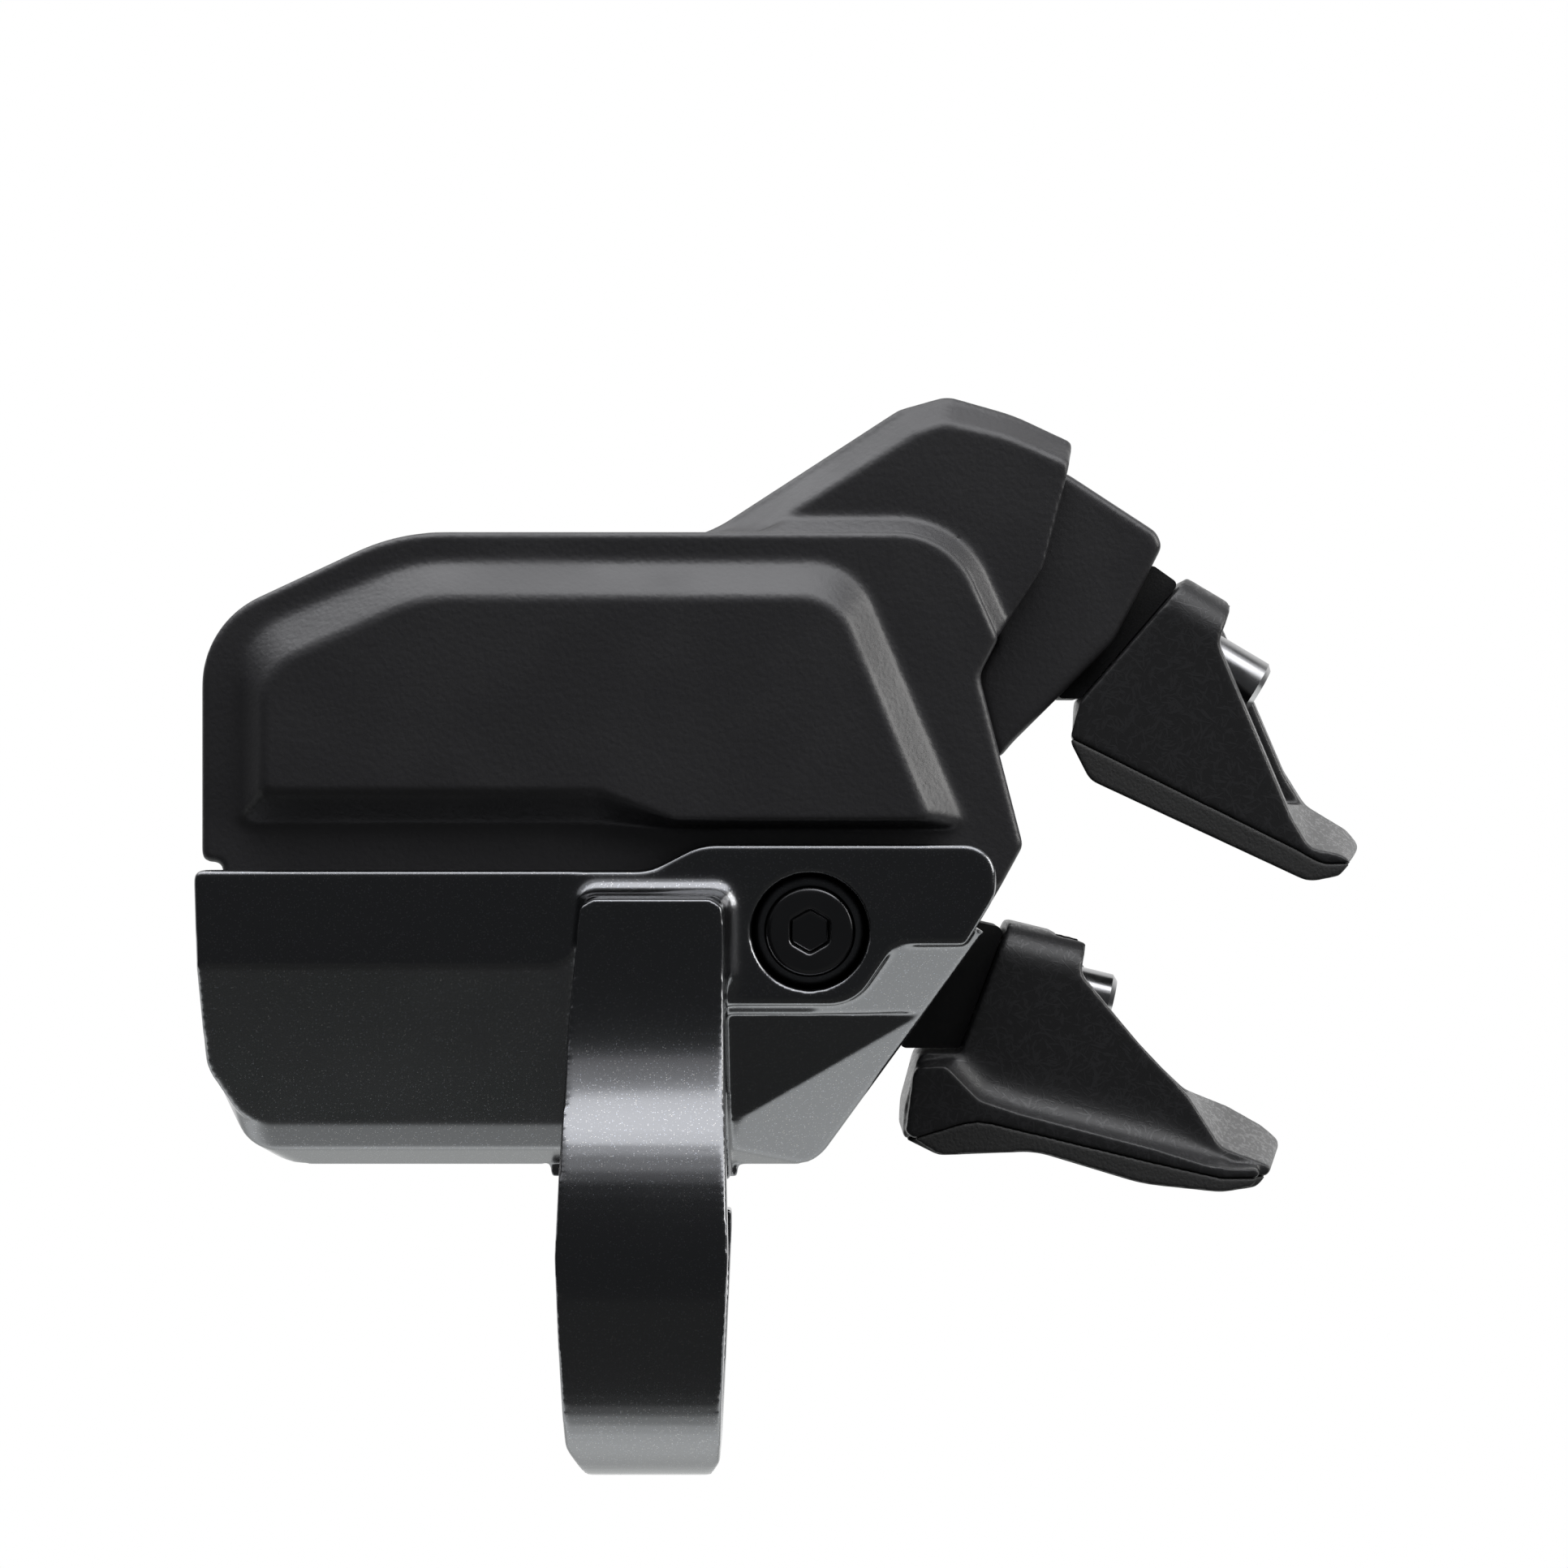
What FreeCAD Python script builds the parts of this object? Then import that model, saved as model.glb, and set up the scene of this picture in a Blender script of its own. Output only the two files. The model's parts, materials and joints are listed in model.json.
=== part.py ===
"""Right-hand electronic shift switch for a 22.2 mm handlebar.

Millimetres.  The origin is the centre of the handlebar clamp, +X runs along the bar towards the grip,
+Z points ahead of the bar and -Y is the side that faces the rider.  Outlines are drawn in the XZ plane
as (x, z, corner radius) and extruded along Y.
"""
import FreeCAD
import Part
import math
import os
from FreeCAD import Vector

os.makedirs("parts", exist_ok=True)

# Fits
CLEAR = 0.05            # between fixed pieces that lie in one another
RUN = 0.3               # each side of a lever in its slot
PIN_RUN = 0.15          # between a pivot pin and the lever that turns on it
OVER = 1.0              # how far a cutting tool runs past the face that it opens
FAR = 60.0              # reach of tools that cut right through

# Depths of the main faces
PLATE_Y = 1.0           # front of the bracket plate
PLATE_THICK = 2.0
RIM_Y = PLATE_Y + PLATE_THICK
PANEL_RISE = 2.0        # raised panel over the rim of the front case
PARTING_Y = 12.0        # joint between the two case shells
BACK_Y = 24.5
CASE_WALL = 2.2

# Levers, shared by both paddles
LEVER_Y = 19.5          # mid plane of both levers
LEVER_WIDTH = 8.0
CHEEK = 1.6             # walls on both sides of a lever
PIN_RADIUS = 1.0
HUB_RADIUS = 2.6
STEM_HALF = 2.0         # half height of a lever stem
STEM_WIDTH = 5.6
STEM_SPARE = 6.0        # length of the stem that the paddle seat trims off
TAIL_HALF = 0.9
TRAVEL_DEG = 8.0        # lever stroke
SPRING_WIRE = 0.5
SPRING_TURNS = 4
SPRING_PITCH = 1.1 * SPRING_WIRE
SPRING_LEG = 2.2
SPRING_SLOT = 3.2       # gap in the hub for the torsion spring
PADDLE_WIDTH = 13.0
PADDLE_WALL = 2.0
PADDLE_BASE = 3.3       # thickness of the wall that the bolt pulls on the stem
PADDLE_HEEL = 1.2       # rounding inside the paddle below the bolt
PADDLE_TOE = 3.0        # rounding where the floor of the paddle runs out to its toe
PADDLE_BOLT_RADIUS = 1.25
PADDLE_BOLT_SPARE = 0.4     # free thread in front of the hub
PADDLE_HEAD_RADIUS = 1.95
PADDLE_HEAD_GAP = 0.4   # head of the bolt over the paddle wall
PADDLE_HEAD_CHAMFER = 0.35
PADDLE_KEY = (2.0, 1.6)     # hexagon socket: across its flats, depth
ARCH_TOP = 3.85         # top of the paddle hub over the bolt axis
ARCH_CORNER = 2.8
SHELF_REACH = 1.8       # how far the thumb shelf stands out from the front wall
SHELF_STEPS = 6

SLOT_Y0 = LEVER_Y - LEVER_WIDTH / 2 - RUN
SLOT_Y1 = LEVER_Y + LEVER_WIDTH / 2 + RUN
ARM_Y0 = SLOT_Y0 - CHEEK
ARM_Y1 = SLOT_Y1 + CHEEK
ARM_GAP = 0.1           # arm to hood, front and back
HOOD_BACK = 1.5         # hood wall behind the arm
HOOD_Y1 = ARM_Y1 + ARM_GAP + HOOD_BACK

# Case
CASE_BOTTOM = 17.2
CASE_OUTLINE = [
    (-28.76, 24.98, 0.6), (-28.76, 40.35, 6.3), (-16.1, 46.25, 13.5), (19.58, 46.25, 5.4),
    (22.61, 39.41, 0.5), (21.35, 37.0, 1.3), (24.18, 26.03, 0.5), (22.2, 22.4, 0.5),
    (18.6, CASE_BOTTOM, 0.6), (-27.4, CASE_BOTTOM, 0.6), (-27.4, 24.98, 0.5),
]
PANEL_FOOT = [
    (-26.67, 27.13, 0.6), (-26.67, 39.8, 4.5), (-15.4, 44.58, 12.0), (13.43, 44.58, 4.6),
    (20.86, 27.13, 0.6), (1.69, 27.13, 0.0), (-3.24, 27.13, 0.0),
]
PANEL_TOP = [
    (-24.39, 29.79, 0.6), (-24.39, 37.07, 3.4), (-14.4, 41.74, 10.0), (12.0, 41.74, 3.4),
    (17.8, 27.71, 0.6), (1.69, 27.71, 0.0), (-3.24, 29.79, 0.0),
]
HOOD_OUTLINE = [
    (-3.0, 44.0, 0.0), (-3.0, 46.25, 0.0), (3.14, 46.25, 8.0), (16.4, 54.85, 2.0), (19.6, 55.75, 2.0),
    (24.0, 54.5, 12.0), (27.95, 52.65, 0.4), (27.35, 49.94, 6.0), (25.9, 44.3, 3.0), (22.7, 39.45, 0.0),
    (17.0, 38.0, 0.0),
]
HOOD_FACE = [
    (-3.0, 44.0, 0.0), (-3.0, 46.25, 0.0), (6.95, 46.25, 8.0), (17.75, 53.05, 1.2), (19.4, 53.65, 1.5),
    (23.5, 52.75, 11.0), (27.6, 50.95, 0.3), (27.2, 49.4, 5.5), (25.9, 44.3, 3.0), (22.7, 39.45, 0.0),
    (17.0, 38.0, 0.0),
]
HOOD_BEVEL = 2.0        # depth of the bevel round the hood face
BEAD = 1.4              # sloping bead where the front case stands on the hood
BEAD_LIP = 0.15
EDGE = 0.4              # small rounding of moulded and cast edges
SOFT_STEP = [           # profile of a bevel with soft edges: share of its width, share of its depth
    (0.0, 0.0), (0.1, 0.035), (0.2, 0.13), (0.8, 0.87), (0.9, 0.965), (1.0, 1.0),
]
ARM_OUTLINE = [
    (24.0, 51.6, 0.8), (27.6, 50.6, 0.0), (33.5, 46.75, 0.8), (33.9, 45.8, 0.4), (30.58, 39.32, 3.0),
    (24.0, 32.8, 0.5), (22.9, 31.5, 0.2), (21.5, 37.0, 1.2), (22.8, 39.5, 0.4), (21.0, 43.6, 1.0),
    (21.0, 50.6, 0.8),
]
ARM_SHOWN_X = 22.0      # the arm stands out of the hood beyond this
CLEVIS_OUTLINE = [
    (7.5, 12.0, 1.0), (14.6, 12.0, 0.6), (21.6, 21.6, 0.6), (21.6, 24.0, 0.0), (7.5, 24.0, 0.0),
]
CLEVIS_ROOM = (6.0, 30.0, 10.0)     # solid part of the rear case round the clevis: x, x, z
CLEVIS_CEILING = 5.2    # its top over the lower pivot
GASKET = 0.6

# Bracket casting
BRACKET_WALL = 2.2
SLOPE_TOP = 18.36       # where the plate breaks into the sloping face
SLOPE = 0.72            # depth gained per millimetre of descent
CHIN_Z0 = 7.75          # lower edge of the sloping face, and the two bevels below it
CHIN_Z_MID = 6.02
CHIN_Z1 = 4.76
CHIN_Y0 = PLATE_Y + SLOPE * (SLOPE_TOP - CHIN_Z0)
CHIN_Y_MID = 10.2
CHIN_Y1 = 13.5
FLANK_POINT = Vector(20.5, 3.2, 19.3)
FLANK_NORMAL = Vector(0.273, -0.687, -0.673)
POCKET_POINT = Vector(16.8, 6.31, 14.62)
POCKET_NORMAL = Vector(0.045, -0.932, -0.358)
POCKET_X = 4.0          # the pocket lies to the right of the neck and below the plate
POCKET_TOP = 15.14
PLATE_OUTLINE = [
    (-29.1, 24.49, 0.6), (0.2, 24.49, 4.0), (3.4, 26.15, 4.0), (22.37, 26.15, 2.0), (22.37, 22.9, 2.5),
    (20.4, 19.65, 0.3), (15.9, 19.65, 1.4), (13.3, 15.8, 3.0), (5.0, 15.8, 0.0), (5.0, SLOPE_TOP, 0.0),
    (-28.9, SLOPE_TOP, 0.0),
]
SILL = (0.0, 20.0, 10.0)    # strip of the plate that is carried back under the case: x, x, z
CHIN_RIGHT = [(21.7, 20.6, 0.0), (13.5, 20.6, 0.0), (13.5, SLOPE_TOP, 0.0)]
CHIN_FRONT = [
    (-28.9, SLOPE_TOP, 0.0), (-28.75, 11.6, 3.0), (-26.5, CHIN_Z0, 2.5), (12.86, CHIN_Z0, 1.5), *CHIN_RIGHT,
]
CHIN_MID = [
    (-28.9, SLOPE_TOP, 0.0), (-28.8, 11.3, 3.0), (-26.3, CHIN_Z_MID, 2.5), (11.67, CHIN_Z_MID, 2.0),
    *CHIN_RIGHT,
]
CHIN_BACK = [
    (-28.9, SLOPE_TOP, 0.0), (-28.8, 11.0, 3.0), (-25.2, CHIN_Z1, 4.5), (10.8, CHIN_Z1, 2.4), *CHIN_RIGHT,
]
HOLLOW_X = (-26.0, 12.0)    # open back of the bracket, where the case drops in
HOLLOW_Z = (12.0, 30.0)

# Handlebar band
BAR_RADIUS = 11.1
BAND_WALL = 2.9
NECK_Y = -2.5
NECK_BACK = 6.0
NECK_Z = (8.0, 30.0)
NECK_FILLET = 3.0
NECK_ROOT = 1.65        # fillet where the neck grows out of the plate
NECK_STEPS = 5
NECK_FOOT = [(-4.0, 22.9, 0.8), (4.95, 22.9, 0.8), (4.97, 17.55, 0.3), (-4.6, 17.55, 0.3)]
BAND_OUTLINE = [
    (-4.0, 22.9, 0.8), (4.95, 22.9, 0.8), (5.0, 15.0, 0.0), (5.33, 1.0, 0.0), (4.75, -12.5, 0.6),
    (3.6, -15.0, 0.3), (-3.2, -15.0, 0.3), (-4.9, -11.4, 2.0), (-5.32, 1.0, 0.0), (-4.75, 15.0, 0.0),
]
SADDLE_Z0 = 5.0         # metal between the band and the plate
SLIT_TOP = 4.0
SLIT_GAP = 2.0
SLIT_Y0 = 5.0
LUG_X0 = -6.7
LUG_X1 = 5.7
LUG_Y0 = 13.2
LUG_Y1 = 21.3
LUG_TOP = 12.0
LUG_CORNER = 2.0
LOWER_LUG_X = (-5.0, 4.8)
LOWER_LUG_ROOT = 6.4    # how far the lower lug runs into the band
LOWER_LUG_HEIGHT = 5.6
CLAMP_BOLT_RADIUS = 2.0
CLAMP_BOLT_Y = 17.0
CLAMP_HEAD_RADIUS = 3.5
CLAMP_HEAD_HEIGHT = 4.0
CLAMP_KEY = (3.0, 2.2)
CLAMP_NUT_RADIUS = 3.2
CLAMP_NUT_Z = 8.0
CLAMP_NUT_SINK = 0.5    # ends of the barrel nut below the faces of the lug
BOLT_HOLE_CLEAR = 0.25
HEAD_EDGE = 0.45        # rounding of screw heads
THREAD_SPARE = 0.4      # end of a screw before the end of its nut

# Screw that joins the bracket to the case
BRACKET_BOLT = (10.42, 20.54)
BRACKET_BOLT_RADIUS = 1.5
BRACKET_HEAD_RADIUS = 2.95
BRACKET_HEAD_HEIGHT = 2.8
BRACKET_KEY = (2.5, 1.8)
BRACKET_KEY_TURN = 30.0
BRACKET_RECESS = 3.76
BRACKET_RECESS_FLOOR = 4.3
BRACKET_BOSS = 4.7
BRACKET_BOSS_Y = 5.6
INSERT_RADIUS = 2.5
INSERT_LENGTH = 5.4
INSERT_WALL = 2.0

# Battery and electronics
CELL = (-11.5, 31.8)
CELL_RADIUS = 10.0
CELL_THICK = 3.2
CELL_CLEAR = 0.3
CELL_EDGE = 0.3
CUP_WALL = 1.6
CUP_FLOOR_Y = 18.6
CUP_FLOOR = 1.3
CONTACT = 0.3           # sheet of the spring tongue
CONTACT_REACH = 7.0
CONTACT_TIP = 2.0
CONTACT_HALF = 1.5
BLADE = 0.2             # sheet of the blade on the rim of the cell
BLADE_HALF = 0.9
BLADE_SHARE = 0.8       # part of the rim that the blade covers
SEAL = 0.8
SEAL_WIDTH = 1.3
SEAL_FIT = 0.2          # seal ring to the cell well and to the rim of the cover
COVER_RADIUS = CELL_RADIUS + CELL_CLEAR + SEAL_WIDTH + 2 * SEAL_FIT
COVER_THICK = 1.8
COVER_PROUD = 0.5
COVER_SLOT = (6.5, 0.9)     # coin slot: half length, half width
COVER_SLOT_FLOOR = 0.4
BOARD_Y = 14.2
BOARD_THICK = 1.0
BOARD_OUTLINE = [(-22.0, 22.0, 1.0), (-22.0, 41.0, 1.0), (7.5, 41.0, 1.0), (7.5, 27.2, 1.0), (2.0, 22.0, 1.0)]
BOARD_POSTS = [(-19.5, 24.0), (-19.5, 39.0), (5.0, 39.0)]
POST_RADIUS = 1.5
RADIO_CENTRE = (0.0, 33.0)
RADIO_SIDE = 8.0
RADIO_THICK = 1.6
SWITCH_HALF = 2.0       # half width of a key switch across the lever
BUTTON_RADIUS = 0.75
BUTTON_RISE = 0.25
RIBBON = 0.2
RIBBON_HEIGHT = 0.9
RIBBON_X = (3.0, 8.6)   # solder pads and first bend
RIBBON_BEND = 3.4       # last bend before the switch

# Screws of the case
SCREW_RADIUS = 0.8
SCREW_HEAD = 1.6
SCREW_SEAT = 1.4        # depth of the head's seat in the back
SCREW_SINK = 0.2
SCREW_FREE = 0.15
SCREW_KEY = (1.3, 0.8)
SCREW_COLUMN = 2.4
SCREW_HOLE_FLOOR = 2.5  # bottom of the hole behind the rim
SCREW_END = 3.2
COVER_GAP = 0.77        # wall between the battery cover and the screw beside it
COVER_SCREW_DEG = 158.8
COVER_SCREW = (
    CELL[0] + (COVER_RADIUS + COVER_GAP + SCREW_HEAD) * math.cos(math.radians(COVER_SCREW_DEG)),
    CELL[1] + (COVER_RADIUS + COVER_GAP + SCREW_HEAD) * math.sin(math.radians(COVER_SCREW_DEG)),
)
FOOT_SCREW = (-25.0, 21.5)
HOOD_SCREW = (13.0, 43.5)
CLEVIS_SCREW = (18.9, 26.9)
SCREWS = [FOOT_SCREW, COVER_SCREW, HOOD_SCREW, CLEVIS_SCREW]

# Each paddle: its lever, its walls at the front and at the rear, the thumb shelf with the way that
# each of its corners spreads towards the wall, the seam over the pad and the floor behind the front wall
UPPER = dict(
    name="upper", pivot=(28.0, 43.8), droop=30.7, reach=5.85, base_deg=49.2, head_end=8.95,
    boot=[
        (27.2, 35.7, 0.3), (28.5, 35.7, 0.3), (35.1, 43.35, 0.4), (33.2, 44.7, 0.5), (29.5, 40.5, 2.0),
        (26.6, 36.6, 0.5),
    ],
    trim_z=0.0,
    tail=(-1.0, 0.0, 4.7),
    front=[
        (35.45, 43.9, 0.7), (38.65, 42.2, 0.6), (37.5, 39.3, 1.5), (42.4, 27.7, 2.0), (43.6, 25.7, 1.2),
        (45.4, 25.4, 0.6), (46.4, 24.9, 0.3), (45.5, 23.9, 0.6), (43.5, 23.5, 2.0), (29.0, 30.25, 1.4),
        (27.65, 32.9, 1.2), (28.4, 35.5, 0.6),
    ],
    rear=[
        (35.45, 43.9, 0.7), (38.65, 42.2, 0.6), (38.75, 41.0, 0.5), (43.0, 31.0, 3.0), (44.5, 28.6, 2.0),
        (47.3, 26.9, 0.8), (48.3, 25.7, 0.7), (47.2, 24.3, 0.8), (44.6, 23.7, 2.0), (30.0, 30.6, 1.4),
        (28.5, 33.0, 1.2), (28.6, 35.6, 0.6),
    ],
    shelf=[],
    seam=[(24.0, 34.9, 0.0), (42.6, 25.7, 2.0), (44.4, 24.7, 2.0), (50.0, 24.9, 0.0)],
    floor=((33.4, 32.4), (42.6, 28.6)),
)
LOWER = dict(
    name="lower", pivot=(15.5, 18.9), droop=13.6, reach=7.07, base_deg=69.2, head_end=8.7,
    boot=[(16.2, 12.4, 0.5), (20.45, 12.4, 0.2), (23.48, 20.4, 0.5), (19.9, 21.2, 0.5)],
    trim_z=12.25,
    tail=(0.0, 1.0, 6.8),
    front=[
        (23.8, 21.15, 0.8), (28.95, 19.75, 0.6), (28.4, 17.4, 1.2), (32.3, 12.8, 6.0), (35.5, 9.4, 3.0),
        (37.7, 5.9, 1.5), (40.2, 5.0, 0.8), (41.2, 4.6, 0.3), (40.0, 3.3, 0.8), (37.7, 2.95, 3.0),
        (32.5, 3.5, 12.0), (25.4, 5.65, 6.0), (19.0, 5.4, 1.5), (16.6, 6.6, 0.6), (16.7, 8.5, 2.0),
        (17.7, 12.2, 0.8), (20.35, 12.2, 0.3),
    ],
    rear=[
        (23.8, 21.15, 0.8), (28.95, 19.75, 0.6), (28.9, 18.2, 0.6), (31.9, 13.2, 6.0), (36.2, 9.1, 2.0),
        (39.2, 7.95, 1.5), (41.5, 6.65, 1.0), (43.0, 5.35, 0.7), (41.2, 3.5, 0.8), (37.7, 2.95, 3.0),
        (32.5, 3.5, 12.0), (25.4, 5.65, 6.0), (19.0, 5.4, 1.5), (16.6, 6.6, 0.6), (16.7, 8.5, 2.0),
        (17.7, 12.2, 0.8), (20.35, 12.2, 0.3),
    ],
    shelf=[
        ((16.75, 7.0, 0.4), (0.0, 0.0)), ((17.3, 11.3, 0.8), (0.4, 0.5)), ((19.4, 11.5, 0.8), (2.0, 0.8)),
        ((21.6, 9.2, 1.5), (1.6, 2.0)), ((24.3, 8.3, 2.0), (0.6, 2.6)), ((33.1, 6.0, 6.0), (0.4, 2.6)),
        ((36.7, 4.9, 3.0), (0.2, 1.4)), ((38.5, 4.65, 0.8), (0.0, 0.4)), ((40.3, 4.7, 0.3), (0.0, 0.0)),
        ((39.7, 3.5, 0.6), (0.0, 0.0)), ((37.7, 3.1, 3.0), (0.0, 0.0)), ((32.5, 3.65, 12.0), (0.0, 0.0)),
        ((25.4, 5.8, 6.0), (0.0, 0.0)), ((19.0, 5.55, 1.5), (0.0, 0.0)),
    ],
    seam=[(12.0, 5.0, 0.0), (21.4, 7.85, 4.0), (33.4, 4.95, 8.0), (37.6, 4.0, 3.0), (45.0, 4.1, 0.0)],
    floor=((23.6, 10.2), (35.6, 9.0)),
)

# Rooms for the levers and their switches, measured from the pivots
TAIL_DROP = TAIL_HALF + UPPER["tail"][2] * math.sin(math.radians(TRAVEL_DEG)) + 1.5 * RUN
ARM_SLOT = [
    (-5.4, -TAIL_DROP, 0.0), (-5.4, 3.2, 1.0), (2.0, 3.2, 1.0), (5.0, 1.9, 0.0), (12.0, 1.0, 0.0),
    (3.0, -14.0, 0.0), (-2.6, -10.2, 0.0), (-2.4, -6.0, 1.0), (-0.4, -3.2, 1.0), (-3.2, -TAIL_DROP, 0.5),
]
CLEVIS_SLOT = [
    (-6.4, -5.4, 0.6), (1.5, -5.4, 0.0), (5.0, -9.5, 0.0), (12.0, 2.0, 0.0), (8.5, 4.0, 0.0),
    (-6.4, 4.0, 0.6),
]
TAIL_SLOT = (-HUB_RADIUS, 2.0, 2.0, 9.0)        # boxes: x, x, z, z
UPPER_SWITCH = (-4.95, -3.0, -3.7, -1.95)
LOWER_SWITCH = (-4.3, -2.2, 5.4, 7.8)
RIBBON_SLOT = (5.0, 0.5)        # way of the upper ribbon through the case: length, half width
LEDGE = (3.0, 0.8, 1.6)         # ledge under the lower switch: length, overhang, thickness


def turned(points):
    """The outline with its points in counter-clockwise order."""
    area = 0.0
    for (ax, az, _), (bx, bz, _) in zip(points, points[1:] + points[:1]):
        area += ax * bz - bx * az
    return list(points) if area > 0 else list(reversed(points))


def inset(points, dist):
    """The outline moved inwards by dist; rounded corners keep their centres."""
    pts = turned(points)
    lines = []
    for (ax, az, _), (bx, bz, _) in zip(pts, pts[1:] + pts[:1]):
        length = math.hypot(bx - ax, bz - az)
        dx, dz = (bx - ax) / length, (bz - az) / length
        lines.append((ax - dz * dist, az + dx * dist, dx, dz))
    result = []
    for i, (_, _, radius) in enumerate(pts):
        px, pz, pdx, pdz = lines[i - 1]
        qx, qz, qdx, qdz = lines[i]
        cross = pdx * qdz - pdz * qdx
        if abs(cross) < 1e-6:
            result.append((qx, qz, 0.0))
            continue
        t = ((qx - px) * qdz - (qz - pz) * qdx) / cross
        grown = radius - dist if cross > 0 else radius + dist
        result.append((px + pdx * t, pz + pdz * t, max(grown, 0.02) if radius > 0 else 0.0))
    return result


def between(points0, points1, share):
    """Outline part of the way from one outline to another with the same corners."""
    return [tuple(a + (b - a) * share for a, b in zip(p, q)) for p, q in zip(points0, points1)]


def outline_edges(points, y):
    """Edges of an outline in the plane at y, every corner rounded by its own radius."""
    pts = turned(points)
    corners = []
    for i, (x, z, radius) in enumerate(pts):
        p = Vector(x, y, z)
        a = Vector(pts[i - 1][0], y, pts[i - 1][1]) - p
        b = Vector(pts[(i + 1) % len(pts)][0], y, pts[(i + 1) % len(pts)][1]) - p
        a.normalize()
        b.normalize()
        half = math.acos(max(-1.0, min(1.0, a.dot(b)))) / 2
        if radius < 1e-6 or half > 1.5705:
            corners.append((p, None, p))
            continue
        reach = radius / math.tan(half)
        middle = (a + b).normalize() * (radius / math.sin(half) - radius)
        corners.append((p + a * reach, p + middle, p + b * reach))
    edges = []
    for i, (start, middle, end) in enumerate(corners):
        if middle is not None:
            edges.append(Part.Arc(start, middle, end).toShape())
        following = corners[(i + 1) % len(corners)][0]
        if (following - end).Length > 1e-6:
            edges.append(Part.makeLine(end, following))
    return edges


def outline_wire(points, y):
    return Part.Wire(outline_edges(points, y))


def prism(points, y0, y1):
    return Part.Face(outline_wire(points, y0)).extrude(Vector(0, y1 - y0, 0))


def stack(slices):
    """Solid through a row of (outline, depth) slices with the same corners."""
    rings = [outline_edges(points, y) for points, y in slices]
    faces = [Part.Face(Part.Wire(rings[0])), Part.Face(Part.Wire(rings[-1]))]
    for near, far in zip(rings, rings[1:]):
        faces += [Part.makeRuledSurface(a, b) for a, b in zip(near, far)]
    shell = Part.Shell(faces)
    shell.sewShape()
    solid = Part.Solid(shell)
    if solid.Volume < 0:
        solid.reverse()
    return solid


def frustum(points0, y0, points1, y1):
    return stack([(points0, y0), (points1, y1)])


def soft_step(foot, y0, top, y1):
    """Raised field whose bevel is rounded at its foot and at its crest."""
    return stack([(between(foot, top, width), y0 + (y1 - y0) * depth) for width, depth in SOFT_STEP])


def sharp(points):
    return [(x, z, 0.0) for x, z in points]


def block(x0, x1, y0, y1, z0, z1):
    return Part.makeBox(x1 - x0, y1 - y0, z1 - z0, Vector(x0, y0, z0))


def rod_x(y, z, radius, x0, x1):
    return Part.makeCylinder(radius, x1 - x0, Vector(x0, y, z), Vector(1, 0, 0))


def rod_y(centre, radius, y0, y1):
    return Part.makeCylinder(radius, y1 - y0, Vector(centre[0], y0, centre[1]), Vector(0, 1, 0))


def rod_z(x, y, radius, z0, z1):
    return Part.makeCylinder(radius, z1 - z0, Vector(x, y, z0))


def half_space(point, normal):
    """Large block that fills the side of a plane to which its normal points."""
    size = 3 * FAR
    cube = Part.makeBox(size, size, size, Vector(-size / 2, -size / 2, 0))
    cube.Placement = FreeCAD.Placement(point, FreeCAD.Rotation(Vector(0, 0, 1), normal))
    return cube


def key_hole(base, direction, key, turn_deg=0.0):
    """Hexagon socket that starts at base and runs along direction."""
    across, depth = key
    corner = across / math.sqrt(3)
    turns = [math.radians(turn_deg + 60 * k) for k in range(7)]
    ring = [Vector(corner * math.cos(t), corner * math.sin(t), 0) for t in turns]
    socket = Part.Face(Part.makePolygon(ring)).extrude(Vector(0, 0, depth))
    socket.Placement = FreeCAD.Placement(base, FreeCAD.Rotation(Vector(0, 0, 1), direction))
    return socket


def rounded(shape, radius, chosen):
    """Fillet of the edges for which chosen(edge) holds."""
    return shape.makeFillet(radius, [edge for edge in shape.Edges if chosen(edge)])


def lies_at(edge, y):
    return all(abs(vertex.Y - y) < 1e-4 for vertex in edge.Vertexes)


def save(shape, node):
    shape = shape.removeSplitter()
    print("%-22s solids %d valid %s volume %9.1f" % (node, len(shape.Solids), shape.isValid(), shape.Volume))
    shape.exportStep("parts/" + node + ".step")


class Lever:
    """Places along one lever: its pivot, the bolt axis and the seat of its paddle."""

    def __init__(self, spec):
        self.name = spec["name"]
        self.spec = spec
        droop = math.radians(spec["droop"])
        base = math.radians(spec["base_deg"])
        self.pivot = spec["pivot"]
        self.axis = Vector(math.cos(droop), 0, -math.sin(droop))
        self.up = Vector(math.sin(droop), 0, math.cos(droop))
        self.along = Vector(math.cos(base), 0, math.sin(base))
        self.out = Vector(math.sin(base), 0, -math.cos(base))
        self.hub = Vector(self.pivot[0], LEVER_Y, self.pivot[1])
        self.seat = self.hub + self.axis * spec["reach"]
        self.y0 = LEVER_Y - LEVER_WIDTH / 2
        self.y1 = LEVER_Y + LEVER_WIDTH / 2

    def at(self, along, out):
        """Point (x, z) measured up along the seat and out from it."""
        p = self.seat + self.along * along + self.out * out
        return (p.x, p.z)

    def stem(self, gap):
        """Bar from the hub past the seat, grown by a gap on its four sides."""
        far = self.hub + self.axis * (self.spec["reach"] + STEM_SPARE)
        side = self.up * (STEM_HALF + gap)
        corners = (self.hub - side, far - side, far + side, self.hub + side)
        half = STEM_WIDTH / 2 + gap
        return prism(sharp([(p.x, p.z) for p in corners]), LEVER_Y - half, LEVER_Y + half)


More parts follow.
